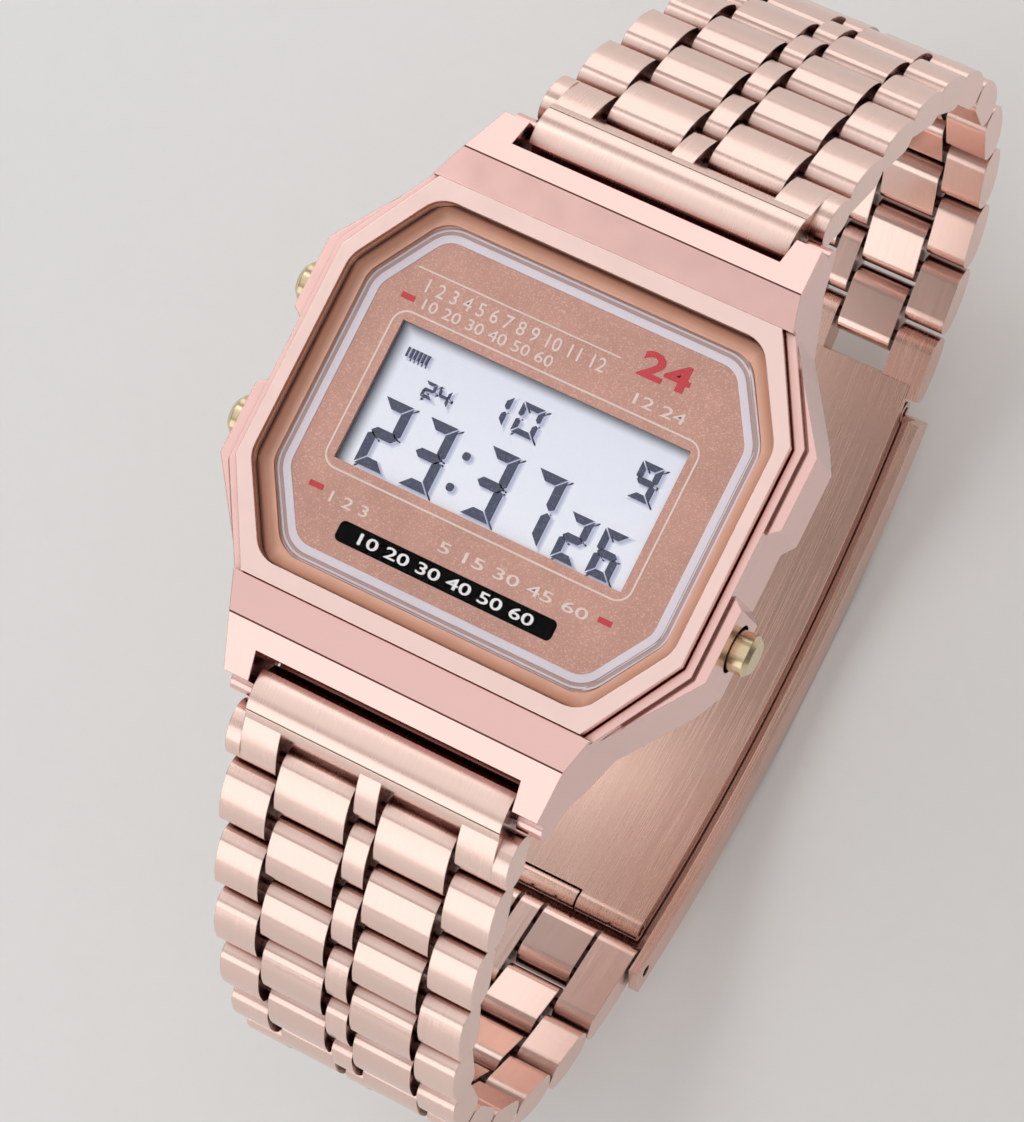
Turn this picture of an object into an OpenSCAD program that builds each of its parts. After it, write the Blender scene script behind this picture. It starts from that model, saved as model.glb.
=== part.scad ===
// Digital wristwatch on a five-column link bracelet, shown as it is worn, millimetres.
// +X runs to 3 o'clock, +Y to 12 o'clock and +Z out of the crystal.
// The origin is the middle of the case back's outer face.

/* [Case] */
// Height of the case from its back to the crystal's top
case_h = 8.2; // [7.8:0.1:9.5]
// Length over the lug ends, 12 to 6 o'clock
case_len = 37.2; // [36.6:0.1:38.4]
// Width over the side guards
case_w = 32.8; // [32.4:0.1:34]
// Width of the lug plates at their ends
lug_plate_w = 21.4; // [21:0.1:22.4]
// Width of the cutout between the lugs
lug_gap_w = 18.0; // [17.6:0.1:18.4]
// Depth of that cutout, measured in from the lug ends
lug_gap_depth = 1.8; // [1.7:0.05:1.9]
// Height of the flat guard tops
guard_top = 6.7; // [6.4:0.05:6.8]
// Height of the step between the guards and the crystal ring
step_rise = 0.45; // [0.3:0.05:0.6]
// Length of the hollow in the middle of each guard
guard_hollow_len = 3.7; // [3:0.1:4.4]
// Depth of that hollow
guard_hollow_depth = 0.9; // [0.5:0.05:1]
// Level of the crease that splits each lug plate
crease_z = 7.0; // [6.8:0.05:7.2]
// Level of the lug plates at their ends
lug_end_z = 4.9; // [4.6:0.05:5.2]

/* [Ring and crystal] */
// Half width of the crystal opening
open_x = 14.2; // [13.9:0.05:14.4]
// Half height of the crystal opening
open_y = 11.9; // [11.6:0.05:12.1]
// Width of the ring's top at the sides
ring_side = 0.8; // [0.6:0.05:0.9]
// Width of the ring's top at 12 and 6
ring_end = 1.1; // [0.9:0.05:1.2]
// Corner radius of the opening
open_corner_r = 2.0; // [1:0.1:2.6]
// Level of the ring's top face
ring_top = 8.0; // [7.7:0.05:8.1]
// Width of the crystal's polished bevel
bevel_w = 0.9; // [0.4:0.05:1.2]
// Height of that bevel
bevel_h = 0.45; // [0.2:0.05:0.7]

/* [Display] */
// Thickness of the dial plate
dial_t = 0.3; // [0.2:0.05:0.4]
// Width of the display window
window_w = 19.4; // [18:0.1:20]
// Height of the display window
window_h = 9.1; // [8.4:0.1:9.6]
// Shift of the window toward 9 o'clock
window_shift = 0.3; // [0:0.05:0.6]
// Thickness of the liquid crystal glass
lcd_t = 1.1; // [0.9:0.05:1.2]
// Thickness of the light guide behind the glass
guide_t = 0.7; // [0.5:0.05:0.8]
// Thickness of the circuit board
board_t = 0.5; // [0.4:0.05:0.6]
// Diameter of the coin cell
cell_d = 20; // [19:0.1:20.2]
// Thickness of the coin cell
cell_t = 1.6; // [1.4:0.05:1.6]

/* [Case back] */
// Thickness of the case back
back_t = 0.9; // [0.8:0.05:1]
// Diameter of the sounder disc
sounder_d = 13; // [10:0.5:16]
// Diameter of a back screw's shank
screw_d = 0.84; // [0.7:0.02:0.9]
// Length of a back screw under its head
screw_len = 2.6; // [2:0.1:3]

/* [Buttons] */
// Diameter of a button's head
button_d = 2.6; // [2.2:0.1:2.8]
// How far a head stands out of the guard
button_out = 1.3; // [1:0.1:1.5]
// Travel of a button
button_travel = 0.8; // [0.5:0.05:0.9]
// Distance of the buttons from the 3 to 9 line
button_y = 4.5; // [4.2:0.1:5]
// Level of the buttons' axes
button_z = 3.9; // [3.7:0.05:4]
// Diameter of a button's stem
stem_d = 1.4; // [1.2:0.05:1.6]

/* [Bracelet] */
// Pitch of the link rows
pitch = 5.2; // [5:0.05:5.3]
// Gap between one link and the next along the strap
row_gap = 0.3; // [0.2:0.05:0.4]
// Width of an outer link
outer_w = 3.5; // [3.2:0.05:3.6]
// Width of a link between the outer ones and the centre
mid_w = 4.85; // [4.6:0.05:4.9]
// Width of a centre link
centre_w = 1.5; // [1.2:0.05:1.6]
// Gap between two columns
column_gap = 0.3; // [0.2:0.02:0.32]
// Rise of a link's crown over its round ends
crown = 0.2; // [0.05:0.05:0.25]
// Diameter of a link pin
pin_d = 0.8; // [0.6:0.05:0.9]
// How much a row narrows on each side against the one before it
row_taper = 0.3; // [0:0.02:0.32]
// Number of rows that narrow, counted from the case
taper_rows = 5; // [0:1:6]
// Slope of the end links down from the case
first_slope = 43; // [42:0.5:44]
// Turn of each row against the one before it, from the case to the clasp
row_turns = [1, 4, 9, 9, 12, 14, 16, 16, 16, 15]; // [0:1:18]

/* [Clasp] */
// Thickness of the clasp's cover
cover_t = 0.7; // [0.6:0.05:0.8]
// Thickness of the folding blades
blade_t = 0.6; // [0.5:0.05:0.6]
// Width of the folding blades
blade_w = 15; // [12:0.5:16]
// Thickness of the cover's side walls
cover_wall = 0.8; // [0.6:0.05:1]
// Radius of the clasp's hinge knuckles
knuckle_r = 0.75; // [0.65:0.05:0.75]

/* [Fits] */
// Radial clearance of a turning pin
run_fit = 0.04; // [0.02:0.01:0.08]
// Gap between seated parts
seat_gap = 0.05; // [0.03:0.01:0.08]

/* [Hidden] */
$fn = 64;
tiny = 0.01;
far = 60;
ROWS = len(row_turns);

// Octagons, as half width, half height, chamfer start along X and chamfer start along Y
opening = [open_x, open_y, open_x - 3.4, open_y - 5.4];
ring_out = opening + [ring_side, ring_end, 0.65, 0.5];
step_w = 0.6;
step_out = ring_out + [step_w, step_w, 0.35, 0.3];
seat_in = 0.8;
dial_out = opening - [seat_in, seat_in, 0.5, 0.3];
cavity = dial_out - [0.1, 0.1, 0.7, 0.6];
back_out = cavity + [0.75, 1.6, 1.6, 3.0];
ring_gap = 0.08;
groove_w = 0.14;
groove_depth = 0.2;

// Levels inside the case, from the crystal's seat down
ring_seat_h = 0.5;
crystal_seat = guard_top - ring_seat_h;
gasket_t = 0.35;
crystal_z = crystal_seat + gasket_t;
dial_z = crystal_seat - dial_t;
lcd_z = dial_z - lcd_t;
guide_z = lcd_z - guide_t;
frame_floor = 0.7;
board_z = guide_z - frame_floor - board_t;
cell_z = board_z - cell_t;
frame_z = board_z + board_t;
lower_z = 0.35;

// Plan and side view of the case
guard_x = case_w / 2;
guard_y = 7.2;
shoulder = [12.0, 13.2];
end_x = lug_plate_w / 2;
end_y = case_len / 2;
crease_x = end_x + 0.6;
crease_y = end_y - 3.2;
hollow_y = guard_hollow_len / 2;
hollow_slant = 0.7;
chamfer_x = 1.2;
chamfer_z = 1.8;
plate_drop = 0.45;
nose_r = 0.85;

// The spring bars at the lugs and the end link's bar in the cutout
gap_y = end_y - lug_gap_depth;
bar_y = gap_y + 1.7;
bar_z = lug_end_z - 2.65;
tip_r = 0.4;
tip_x = end_x - 0.5;
spring_bar_r = 0.6;
bar_gap = 0.3;
bar_x = lug_gap_w / 2 - bar_gap;
bar_r = bar_y - gap_y - 0.15;
bar_top_r = 2.3;
bar_corner = 25;
bar_cut = 1.4;
seam_w = 0.08;
seam_depth = 0.12;

// Display module
lcd_w = window_w + 2;
lcd_h = window_h + 2.2;
guide_h = window_h - 0.6;
strip_w = 0.9;
strip_len = window_w - 0.4;
strip_y = lcd_h / 2 - 0.7;
lamp_w = 0.9;
lamp_h = 1.6;
frame_gap = 0.15;
can_r = 0.65;
can_len = 4.5;
can_x = cell_d / 2 + can_r + 0.35;
can_y = -2;
cell_lip = 0.8;
cell_step = 0.3;
strap_t = 0.15;
strap_w = 4;
strap_x = cell_d / 2 + 0.15;

// Case back and its screws
back_gasket_h = 0.3;
back_gasket_in = 0.2;
back_gasket_w = 0.35;
screw_x = 12.3;
screw_y = 9.1;
screw_head_r = 0.8;
screw_head_h = 0.45;
screw_hole_gap = 0.1;
head_sink = 0.1;
slot_len = 1.1;
slot_w = 0.24;
slot_depth = 0.2;

// Buttons, as seen on the +X side, where x grows outward along the axis
BUTTONS = [[-1, button_y], [-1, -button_y], [1, -button_y]];
button_hole_r = button_d / 2 + 0.22;
recess_x = guard_x - button_travel - 1.05;
spring_h = 0.3;
head_in = recess_x + spring_h + button_travel + seat_gap;
head_edge = 0.3;
seal_r = 0.16;
seal_ring_r = stem_d / 2 + 0.02 + seal_r;
seal_x = (cavity[0] + recess_x) / 2;
seal_groove_w = 0.5;
clip_r = 1.1;
clip_t = 0.25;
clip_slot = 0.7;
clip_bite = 0.2;
clip_x = cavity[0] - clip_t - 0.05;
stem_end = clip_x - 0.35;
stem_room = cavity[0] - stem_end + button_travel + 0.25;

// A link's side view: two round ends and a crowned back
end_r = pitch / 4 - row_gap / 2;
half = pitch / 2;
crown_lean = 30;
pin_r = pin_d / 2;
pivot_n = bar_top_r - end_r - crown;
tab_len = 4.8;
tail_s = tab_len - pitch / 4;
tab_start = 0.4;
tab_lead = end_r + 0.8;

// Columns of row k, as distances from the middle. Row 0 is the end link, and an outer link
// clears the wide link of the row before its own.
centre_x = centre_w / 2;
mid_in = centre_x + column_gap;
mid_share = mid_w / (mid_w + outer_w);
function narrowed(k) = row_taper * min(k, taper_rows);
function mid_out(k) = mid_in + mid_w - mid_share * narrowed(k);
function outer_in(k) = mid_out(max(k - 1, 0)) + column_gap;
function outer_out(k) = outer_in(0) + outer_w - narrowed(k);
function pin_end(k) = outer_out(k) - 0.6;
function pin_len(k) = pin_end(k) - seat_gap;
strap_bar_r = 0.55;
strap_bar_x = outer_out(ROWS) - 0.5;

// Slopes and pivots of the rows on one half; both halves are alike
function total(v, n) = n < 0 ? 0 : v[n] + total(v, n - 1);
function slope(k) = first_slope + total(row_turns, k - 1);
function along(a, s, n) = [s * cos(a) + n * sin(a), n * cos(a) - s * sin(a)];
function pivot(k) = k == 0
    ? [bar_y, bar_z] + along(first_slope, tail_s + half, pivot_n)
    : pivot(k - 1) + along(slope(k), pitch, 0);

// The clasp is an arc that carries on from the last rows
last_slope = slope(ROWS);
strap_end = pivot(ROWS);
arc_lean = 180 - last_slope;
arc_r = strap_end[0] / sin(arc_lean);
arc_z = strap_end[1] + arc_r * cos(arc_lean);
function arc_deg(mm) = mm / arc_r * 180 / PI;
function on_arc(deg, n) = [(arc_r + n) * sin(deg), arc_z - (arc_r + n) * cos(deg)];
inner_n = -end_r;
middle_n = inner_n + blade_t + 0.2;
cover_n = middle_n + blade_t + 0.3;
cover_top = cover_n + cover_t;
clasp_pin_r = 0.35;
clasp_pin_x = blade_w / 2 - 0.2;
blade_x = blade_w / 2;
knuckle_x = blade_w / 6;
knuckle_gap = 0.12;
side_gap = 0.15;
eye_len = half + end_r;
eye_bar = end_r - 0.3;
eye_bar_s = half + 0.05;
outer_pin_deg = arc_lean - arc_deg(eye_len + row_gap + knuckle_r);
cover_from_deg = arc_deg(end_r + row_gap) - arc_lean;
inner_pin_deg = cover_from_deg + arc_deg(knuckle_r + 0.1);
knuckle_sink = 0.12;
lap_deg = arc_deg(knuckle_r / 3);
cover_to_deg = outer_pin_deg - lap_deg;
inner_pin = on_arc(inner_pin_deg, middle_n - knuckle_sink);
outer_pin = on_arc(outer_pin_deg, cover_n - knuckle_sink);
ear_deg = arc_deg(1.1);
ears_deg = -arc_lean - ear_deg;
wall_in = outer_out(ROWS) + 0.15;
wall_out = wall_in + cover_wall;
ear_in = wall_in + seat_gap;

// Colours
ROSE = "#F0CDC2";
ROSE_DARK = "#C79A8C";
BRUSHED = "#E8C3B4";
CHAMPAGNE = "#EBCDA6";
STEEL = "#C9CACC";
RUBBER = "#2B2B2D";

// General shapes

function oct(o) = [
    [o[0], o[3]], [o[2], o[1]], [-o[2], o[1]], [-o[0], o[3]],
    [-o[0], -o[3]], [-o[2], -o[1]], [o[2], -o[1]], [o[0], -o[3]]];

function grown(o, d) = [o[0] + d, o[1] + d, o[2] + d * 0.55, o[3] + d * 0.45];

module round_oct(o, r) {
    offset(r = r, $fn = 40) offset(delta = -r) polygon(oct(o));
}

module slab(z0, z1) {
    translate([0, 0, z0]) linear_extrude(z1 - z0) children();
}

// A YZ outline drawn out along X
module across(x0, x1) {
    translate([x0, 0, 0]) rotate([90, 0, 90]) linear_extrude(x1 - x0) children();
}

// A rod along X
module rod(r, x0, x1) {
    translate([x0, 0, 0]) rotate([0, 90, 0]) cylinder(r = r, h = x1 - x0);
}

module at_yz(p) {
    translate([0, p[0], p[1]]) children();
}

module both_sides() {
    children();
    mirror([1, 0, 0]) children();
}

module both_ends() {
    children();
    mirror([0, 1, 0]) children();
}

// Case

module case_plan() {
    lug = [[shoulder[0], shoulder[1]], [crease_x, crease_y], [end_x, end_y], [end_x, end_y + 2]];
    half_plan = [
        [guard_x, guard_y],
        [guard_x, hollow_y + hollow_slant],
        [guard_x - guard_hollow_depth, hollow_y],
        [guard_x - guard_hollow_depth, -hollow_y],
        [guard_x, -hollow_y - hollow_slant],
        [guard_x, -guard_y]];
    polygon(concat(
        half_plan,
        [for (i = [0 : 3]) [lug[i][0], -lug[i][1]]],
        [for (i = [3 : -1 : 0]) [-lug[i][0], -lug[i][1]]],
        [for (i = [5 : -1 : 0]) [-half_plan[i][0], half_plan[i][1]]],
        [for (i = [0 : 3]) [-lug[i][0], lug[i][1]]],
        [for (i = [3 : -1 : 0]) lug[i]]));
}

// Side view of the case body with its lug plates and the round noses of the lugs
module case_side() {
    plate = [
        [ring_out[1] + ring_gap, guard_top],
        [ring_out[1] + ring_gap, ring_top - plate_drop],
        [crease_y, crease_z],
        [end_y, lug_end_z],
        [end_y, bar_z],
        [bar_y, bar_z - nose_r],
        [gap_y, bar_z - nose_r],
        [crease_y, lower_z]];
    polygon(concat(
        [for (i = [7 : -1 : 0]) plate[i]],
        [for (i = [0 : 7]) [-plate[i][0], plate[i][1]]]));
    for (s = [-1, 1]) translate([s * bar_y, bar_z]) circle(nose_r);
}

module case_front() {
    polygon([
        [guard_x, chamfer_z], [guard_x, case_h], [-guard_x, case_h], [-guard_x, chamfer_z],
        [chamfer_x - guard_x, lower_z], [guard_x - chamfer_x, lower_z]]);
}

module case_blank() {
    intersection() {
        slab(0, case_h) case_plan();
        across(-guard_x, guard_x) case_side();
        translate([0, far, 0]) rotate([90, 0, 0]) linear_extrude(2 * far) case_front();
    }
    slab(guard_top - 1, guard_top + step_rise) polygon(oct(step_out));
}

// Recess, stem bore and seal groove of a button
module button_bore() {
    rod(button_hole_r, recess_x, guard_x + 1);
    rod(stem_d / 2 + run_fit, cavity[0] - 1, guard_x);
    rod(seal_ring_r + seal_r + run_fit, seal_x - seal_groove_w / 2, seal_x + seal_groove_w / 2);
}

module screw_places() {
    for (x = [-1, 1], y = [-1, 1]) translate([x * screw_x, y * screw_y, 0]) children();
}

module case_middle() {
    color(ROSE) difference() {
        case_blank();
        // seats for the ring, the crystal's gasket and the dial, and the space for the module
        slab(guard_top, far) polygon(oct(grown(ring_out, ring_gap)));
        slab(crystal_seat, far) round_oct(opening, open_corner_r);
        slab(dial_z, far) polygon(oct(grown(dial_out, seat_gap)));
        slab(0, far) polygon(oct(cavity));
        // groove between the step and the guards
        slab(guard_top - groove_depth, guard_top + step_rise) difference() {
            intersection() {
                polygon(oct(grown(step_out, groove_w)));
                square([2 * far, 2 * ring_out[1]], center = true);
            }
            polygon(oct(step_out));
        }
        // rebate and gasket groove for the case back
        slab(0, back_t) polygon(oct(grown(back_out, seat_gap)));
        slab(0, back_t + back_gasket_h) back_gasket_plan(seat_gap / 2);
        screw_places() cylinder(r = screw_d / 2, h = back_t + screw_len);
        // cutouts for the end links and bores for their spring bars
        both_ends() {
            translate([-lug_gap_w / 2, gap_y, 0]) cube([lug_gap_w, far, far]);
            at_yz([bar_y, bar_z]) rod(tip_r + run_fit, -tip_x - seat_gap, tip_x + seat_gap);
        }
        for (i = [0 : 2]) at_button(i) button_bore();
    }
}

module crystal_ring() {
    color(ROSE) slab(guard_top, ring_top) difference() {
        polygon(oct(ring_out));
        round_oct(opening, open_corner_r);
    }
}

// A long prism whose top edges slope, for the bevels on two opposite sides of the crystal
module bevel_prism(angle, reach) {
    low = case_h - 2 * bevel_h;
    rotate([0, 0, angle]) translate([0, far, 0]) rotate([90, 0, 0]) linear_extrude(2 * far)
        polygon([
            [reach + bevel_w, crystal_z - 1], [reach + bevel_w, low], [reach - bevel_w, case_h],
            [bevel_w - reach, case_h], [-reach - bevel_w, low], [-reach - bevel_w, crystal_z - 1]]);
}

module crystal() {
    rim = grown(opening, -seat_gap);
    lean = atan2(rim[0] - rim[2], rim[1] - rim[3]);
    slant = rim[0] * cos(lean) + rim[3] * sin(lean);
    color("white", 0.35) intersection() {
        slab(crystal_z, case_h) round_oct(rim, open_corner_r);
        bevel_prism(0, rim[0]);
        bevel_prism(90, rim[1]);
        bevel_prism(lean, slant);
        bevel_prism(-lean, slant);
    }
}

module crystal_gasket() {
    color("#B9785F") slab(crystal_seat, crystal_z) difference() {
        round_oct(grown(opening, -seat_gap), open_corner_r);
        round_oct(grown(dial_out, -0.2), open_corner_r);
    }
}

// Display module

module dial_plate() {
    color("#CC9A88") slab(dial_z, crystal_seat) difference() {
        polygon(oct(dial_out));
        translate([-window_w / 2 - window_shift, -window_h / 2]) square([window_w, window_h]);
    }
}

module lcd_panel() {
    color("#D8DFF0") translate([-lcd_w / 2 - window_shift, -lcd_h / 2, lcd_z])
        cube([lcd_w, lcd_h, lcd_t]);
}

module light_guide() {
    color("#EEF4F2", 0.7) translate([-window_w / 2 - window_shift, -guide_h / 2, guide_z])
        cube([window_w, guide_h, guide_t]);
}

module backlight_lamp() {
    color("#F4EFC6") translate([-window_w / 2 - window_shift - lamp_w, -lamp_h / 2, guide_z])
        cube([lamp_w - seat_gap, lamp_h, guide_t - seat_gap]);
}

module module_frame() {
    left = -window_w / 2 - window_shift;
    color("#D9D7D0") difference() {
        slab(frame_z, dial_z) polygon(oct(grown(cavity, -frame_gap)));
        // pockets for the glass, the light guide and the lamp, and slots for the contact strips
        translate([-lcd_w / 2 - window_shift - seat_gap, -lcd_h / 2 - seat_gap, lcd_z])
            cube([lcd_w + 2 * seat_gap, lcd_h + 2 * seat_gap, far]);
        translate([left - lamp_w - seat_gap, -guide_h / 2 - seat_gap, guide_z])
            cube([window_w + lamp_w + 2 * seat_gap, guide_h + 2 * seat_gap, far]);
        for (s = [-1, 1]) translate([0, s * strip_y, 0])
            cube([strip_len + 2 * seat_gap, strip_w + 2 * seat_gap, far], center = true);
        // room for the buttons' stems and clips
        for (b = BUTTONS) translate([b[0] * cavity[0], b[1], 0])
            cube([2 * stem_room, 2 * clip_r + 0.6, far], center = true);
    }
}

module contact_strips() {
    for (s = [-1, 1]) color("#3B3B40") translate([-strip_len / 2, s * strip_y - strip_w / 2, frame_z])
        cube([strip_len, strip_w, lcd_z - frame_z]);
}

module circuit_board() {
    color("#2F6B45") slab(board_z, frame_z) polygon(oct(grown(cavity, -stem_room)));
}

module quartz_can() {
    color(STEEL) translate([can_x, can_y, board_z - can_r - tiny]) rotate([90, 0, 0])
        cylinder(r = can_r, h = can_len);
}

module coin_cell() {
    color(STEEL) translate([0, 0, cell_z]) {
        cylinder(r = cell_d / 2 - cell_lip, h = cell_t);
        translate([0, 0, cell_step]) cylinder(d = cell_d, h = cell_t - cell_step);
    }
}

// The sprung strap that holds the cell up against the board
module cell_clip() {
    color("#D8C48A") translate([0, -strap_w / 2, cell_z - strap_t]) {
        translate([-strap_x - strap_t, 0, 0]) cube([2 * (strap_x + strap_t), strap_w, strap_t]);
        both_sides() translate([strap_x, 0, 0]) cube([strap_t, strap_w, board_z - cell_z + strap_t]);
    }
}

module sounder_disc() {
    color("#D9B25E") translate([0, 0, back_t])
        cylinder(d = sounder_d, h = cell_z - strap_t - back_t - seat_gap);
}

// Case back

module back_gasket_plan(clear) {
    difference() {
        polygon(oct(grown(cavity, back_gasket_in + back_gasket_w + clear)));
        polygon(oct(grown(cavity, back_gasket_in - clear)));
    }
}

module case_back() {
    color(STEEL) difference() {
        slab(0, back_t) polygon(oct(back_out));
        screw_places() {
            cylinder(r = screw_head_r + screw_hole_gap, h = head_sink + screw_head_h);
            cylinder(r = screw_d / 2 + screw_hole_gap, h = 2 * back_t);
        }
    }
}

module back_gasket() {
    color(RUBBER) slab(back_t, back_t + back_gasket_h) back_gasket_plan(0);
}

module back_screws() {
    screw_places() color(STEEL) difference() {
        translate([0, 0, head_sink]) {
            cylinder(r = screw_head_r, h = screw_head_h);
            cylinder(r = screw_d / 2, h = screw_head_h + screw_len);
        }
        for (a = [0, 90]) rotate([0, 0, a])
            cube([slot_len, slot_w, 2 * (head_sink + slot_depth)], center = true);
    }
}

// Buttons, drawn on the +X side with the axis on X

module at_button(i) {
    b = BUTTONS[i];
    translate([0, b[1], button_z]) mirror([b[0] < 0 ? 1 : 0, 0, 0]) children();
}

// A turned shape about the button's axis, with its base at x
module turned(x) {
    translate([x, 0, 0]) rotate([0, 90, 0]) children();
}

module button(i) {
    head_len = guard_x + button_out - head_in;
    head_r = button_d / 2;
    color(CHAMPAGNE) at_button(i) difference() {
        union() {
            rod(stem_d / 2, stem_end, head_in + tiny);
            turned(head_in) rotate_extrude() polygon([
                [0, 0], [head_r, 0], [head_r, head_len - head_edge],
                [head_r - head_edge, head_len], [0, head_len]]);
        }
        // groove for the clip
        turned(clip_x) difference() {
            cylinder(r = stem_d, h = clip_t);
            translate([0, 0, -1]) cylinder(r = stem_d / 2 - clip_bite, h = 3);
        }
    }
}

module clip(i) {
    color(STEEL) at_button(i) turned(clip_x + tiny) difference() {
        cylinder(r = clip_r, h = clip_t - 2 * tiny);
        translate([0, 0, -1]) cylinder(r = stem_d / 2 - clip_bite + tiny, h = 3);
        translate([-clip_slot / 2, 0, -1]) cube([clip_slot, 2 * clip_r, 3]);
    }
}

module button_springs() {
    for (i = [0 : 2]) color(STEEL) at_button(i) turned(recess_x) difference() {
        cylinder(d = button_d, h = spring_h);
        translate([0, 0, -1]) cylinder(r = stem_d / 2 + 0.1, h = 3);
    }
}

module button_seals() {
    for (i = [0 : 2]) color(RUBBER) at_button(i) turned(seal_x)
        rotate_extrude() translate([seal_ring_r, 0]) circle(seal_r);
}

module button_light() {
    button(0);
}

module button_mode() {
    button(1);
}

module button_start() {
    button(2);
}

module clip_light() {
    clip(0);
}

module clip_mode() {
    clip(1);
}

module clip_start() {
    clip(2);
}

// Bracelet

module lug_spring_bars() {
    both_ends() color(STEEL) at_yz([bar_y, bar_z]) {
        rod(spring_bar_r, -bar_x, bar_x);
        rod(tip_r, -tip_x, tip_x);
    }
}

// Side view of a link from one round end's middle to the other's, crown up
module link_side(len) {
    reach = len / 2 + end_r * sin(crown_lean);
    rise = crown + end_r * (1 - cos(crown_lean));
    back_r = (reach * reach + rise * rise) / (2 * rise);
    circle(end_r);
    translate([len, 0]) circle(end_r);
    translate([0, -end_r]) square([len, 2 * end_r]);
    intersection() {
        translate([len / 2, end_r + crown - back_r]) circle(back_r, $fn = 180);
        translate([len / 2 - reach, 0]) square([2 * reach, far]);
    }
}

module link(x0, x1, s0, len) {
    translate([0, s0, 0]) across(x0, x1) link_side(len);
}

// One row in its own frame: Y along the strap, Z outward and the pivot at the origin
module row_body(k, long_tail) {
    tail = long_tail ? pitch : half;
    outer = [outer_in(k), outer_out(k)];
    mid = [mid_in, mid_out(k)];
    for (s = [-1, 1]) {
        color(BRUSHED) difference() {
            link(s > 0 ? outer[0] : -outer[1], s > 0 ? outer[1] : -outer[0], 0, tail);
            row_pin_bores(pin_end(k), long_tail);
        }
        color(ROSE) difference() {
            link(s > 0 ? mid[0] : -mid[1], s > 0 ? mid[1] : -mid[0], half, half);
            at_yz([half, 0]) rod(pin_r + run_fit / 2, -far, far);
            at_yz([pitch, 0]) rod((long_tail ? strap_bar_r : pin_r) + run_fit, -far, far);
        }
    }
    color(BRUSHED) difference() {
        link(-centre_x, centre_x, 0, tail);
        row_pin_bores(far, long_tail);
    }
    for (s = [0, half]) color(STEEL) at_yz([s, 0]) rod(pin_r, -pin_len(k), pin_len(k));
}

module row_pin_bores(end, long_tail) {
    rod(pin_r + run_fit / 2, -end, end);
    at_yz([half, 0]) rod(pin_r + run_fit / 2, -end, end);
    if (long_tail) at_yz([pitch, 0]) rod(strap_bar_r + run_fit, -far, far);
}

module on_half(side) {
    mirror([0, side == 1 ? 1 : 0, 0]) children();
}

module row(side, k) {
    on_half(side) at_yz(pivot(k - 1)) rotate([-slope(k), 0, 0]) row_body(k, side == 1 && k == ROWS);
}

// Side view of an end link's bar, with the spring bar's axis at the origin and Y down the slope
module bar_side() {
    lean = first_slope + bar_corner;
    intersection() {
        union() {
            circle(bar_r);
            intersection() {
                circle(bar_top_r);
                polygon([[0, 0], [-far * sin(lean), far * cos(lean)], [0, far], [far, far], [far, 0]]);
            }
        }
        translate([bar_cut - far, -far / 2]) square([far, far]);
    }
}

module tab_side(s0) {
    translate([s0, pivot_n]) link_side(tail_s - s0);
}

module end_link(side) {
    on_half(side) at_yz([bar_y, bar_z]) rotate([-first_slope, 0, 0]) {
        color(BRUSHED) difference() {
            union() {
                across(-bar_x, bar_x) bar_side();
                across(-centre_x, centre_x) tab_side(tab_start);
                both_sides() {
                    across(outer_in(0), bar_x) tab_side(tab_start);
                    across(bar_x - tiny, outer_out(0)) tab_side(tab_lead);
                }
            }
            rod(spring_bar_r + run_fit, -far, far);
            translate([0, tail_s, pivot_n]) rod(pin_r + run_fit / 2, -pin_end(0), pin_end(0));
            // seam line between the bar and its tabs
            translate([-far, 0, bar_top_r - seam_depth]) cube([2 * far, seam_w, 1]);
        }
        translate([0, tail_s, pivot_n]) {
            color(ROSE) both_sides() difference() {
                link(mid_in, mid_out(0), 0, half);
                rod(pin_r + run_fit / 2, -far, far);
                at_yz([half, 0]) rod(pin_r + run_fit, -far, far);
            }
            color(STEEL) rod(pin_r, -pin_len(0), pin_len(0));
        }
    }
}

module end_link_12() {
    end_link(0);
}

module end_link_6() {
    end_link(1);
}

// Clasp

// A section swept along the clasp's arc, between two angles from straight down
module along_arc(deg) {
    translate([0, 0, arc_z]) rotate([0, 90, 0]) rotate([0, 0, deg[0]])
        rotate_extrude(angle = deg[1] - deg[0], $fn = 180) translate([arc_r, 0]) children();
}

// A curved plate, as its ranges of x, height over the arc and angle
module arc_plate(x, n, deg) {
    along_arc(deg) translate([n[0], x[0]]) square([n[1] - n[0], x[1] - x[0]]);
}

// Hinge knuckles, one in the middle or one on each side of it, and the room that each needs
module middle_knuckle(gap = 0) {
    rod(knuckle_r + gap, -knuckle_x - gap, knuckle_x + gap);
}

module side_knuckles(gap = 0) {
    both_sides() rod(knuckle_r + gap, knuckle_x + side_gap - gap, blade_x + gap);
}

module clasp_strap_pin() {
    color(STEEL) at_yz(strap_end) rod(pin_r, -pin_len(ROWS), pin_len(ROWS));
}

// Eyes that take the strap's last row, shaped as a link's round end, and the bar that joins them
module blade_eye() {
    out = outer_out(ROWS);
    at_yz(strap_end) rotate([-last_slope, 0, 0]) difference() {
        union() {
            both_sides() link(outer_in(ROWS + 1), out, 0, half);
            link(-centre_x, centre_x, 0, half);
            across(-out, out) translate([eye_bar_s, -end_r]) square([eye_bar, eye_bar]);
        }
        rod(pin_r + run_fit / 2, -pin_end(ROWS), pin_end(ROWS));
    }
}

module clasp_inner_blade() {
    color(ROSE_DARK) difference() {
        union() {
            blade_eye();
            arc_plate([-blade_x, blade_x], [inner_n, inner_n + blade_t],
                      [inner_pin_deg, arc_lean - arc_deg(half)]);
            at_yz(inner_pin) side_knuckles();
        }
        at_yz(inner_pin) {
            middle_knuckle(knuckle_gap);
            rod(clasp_pin_r + run_fit, -far, far);
        }
    }
}

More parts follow.
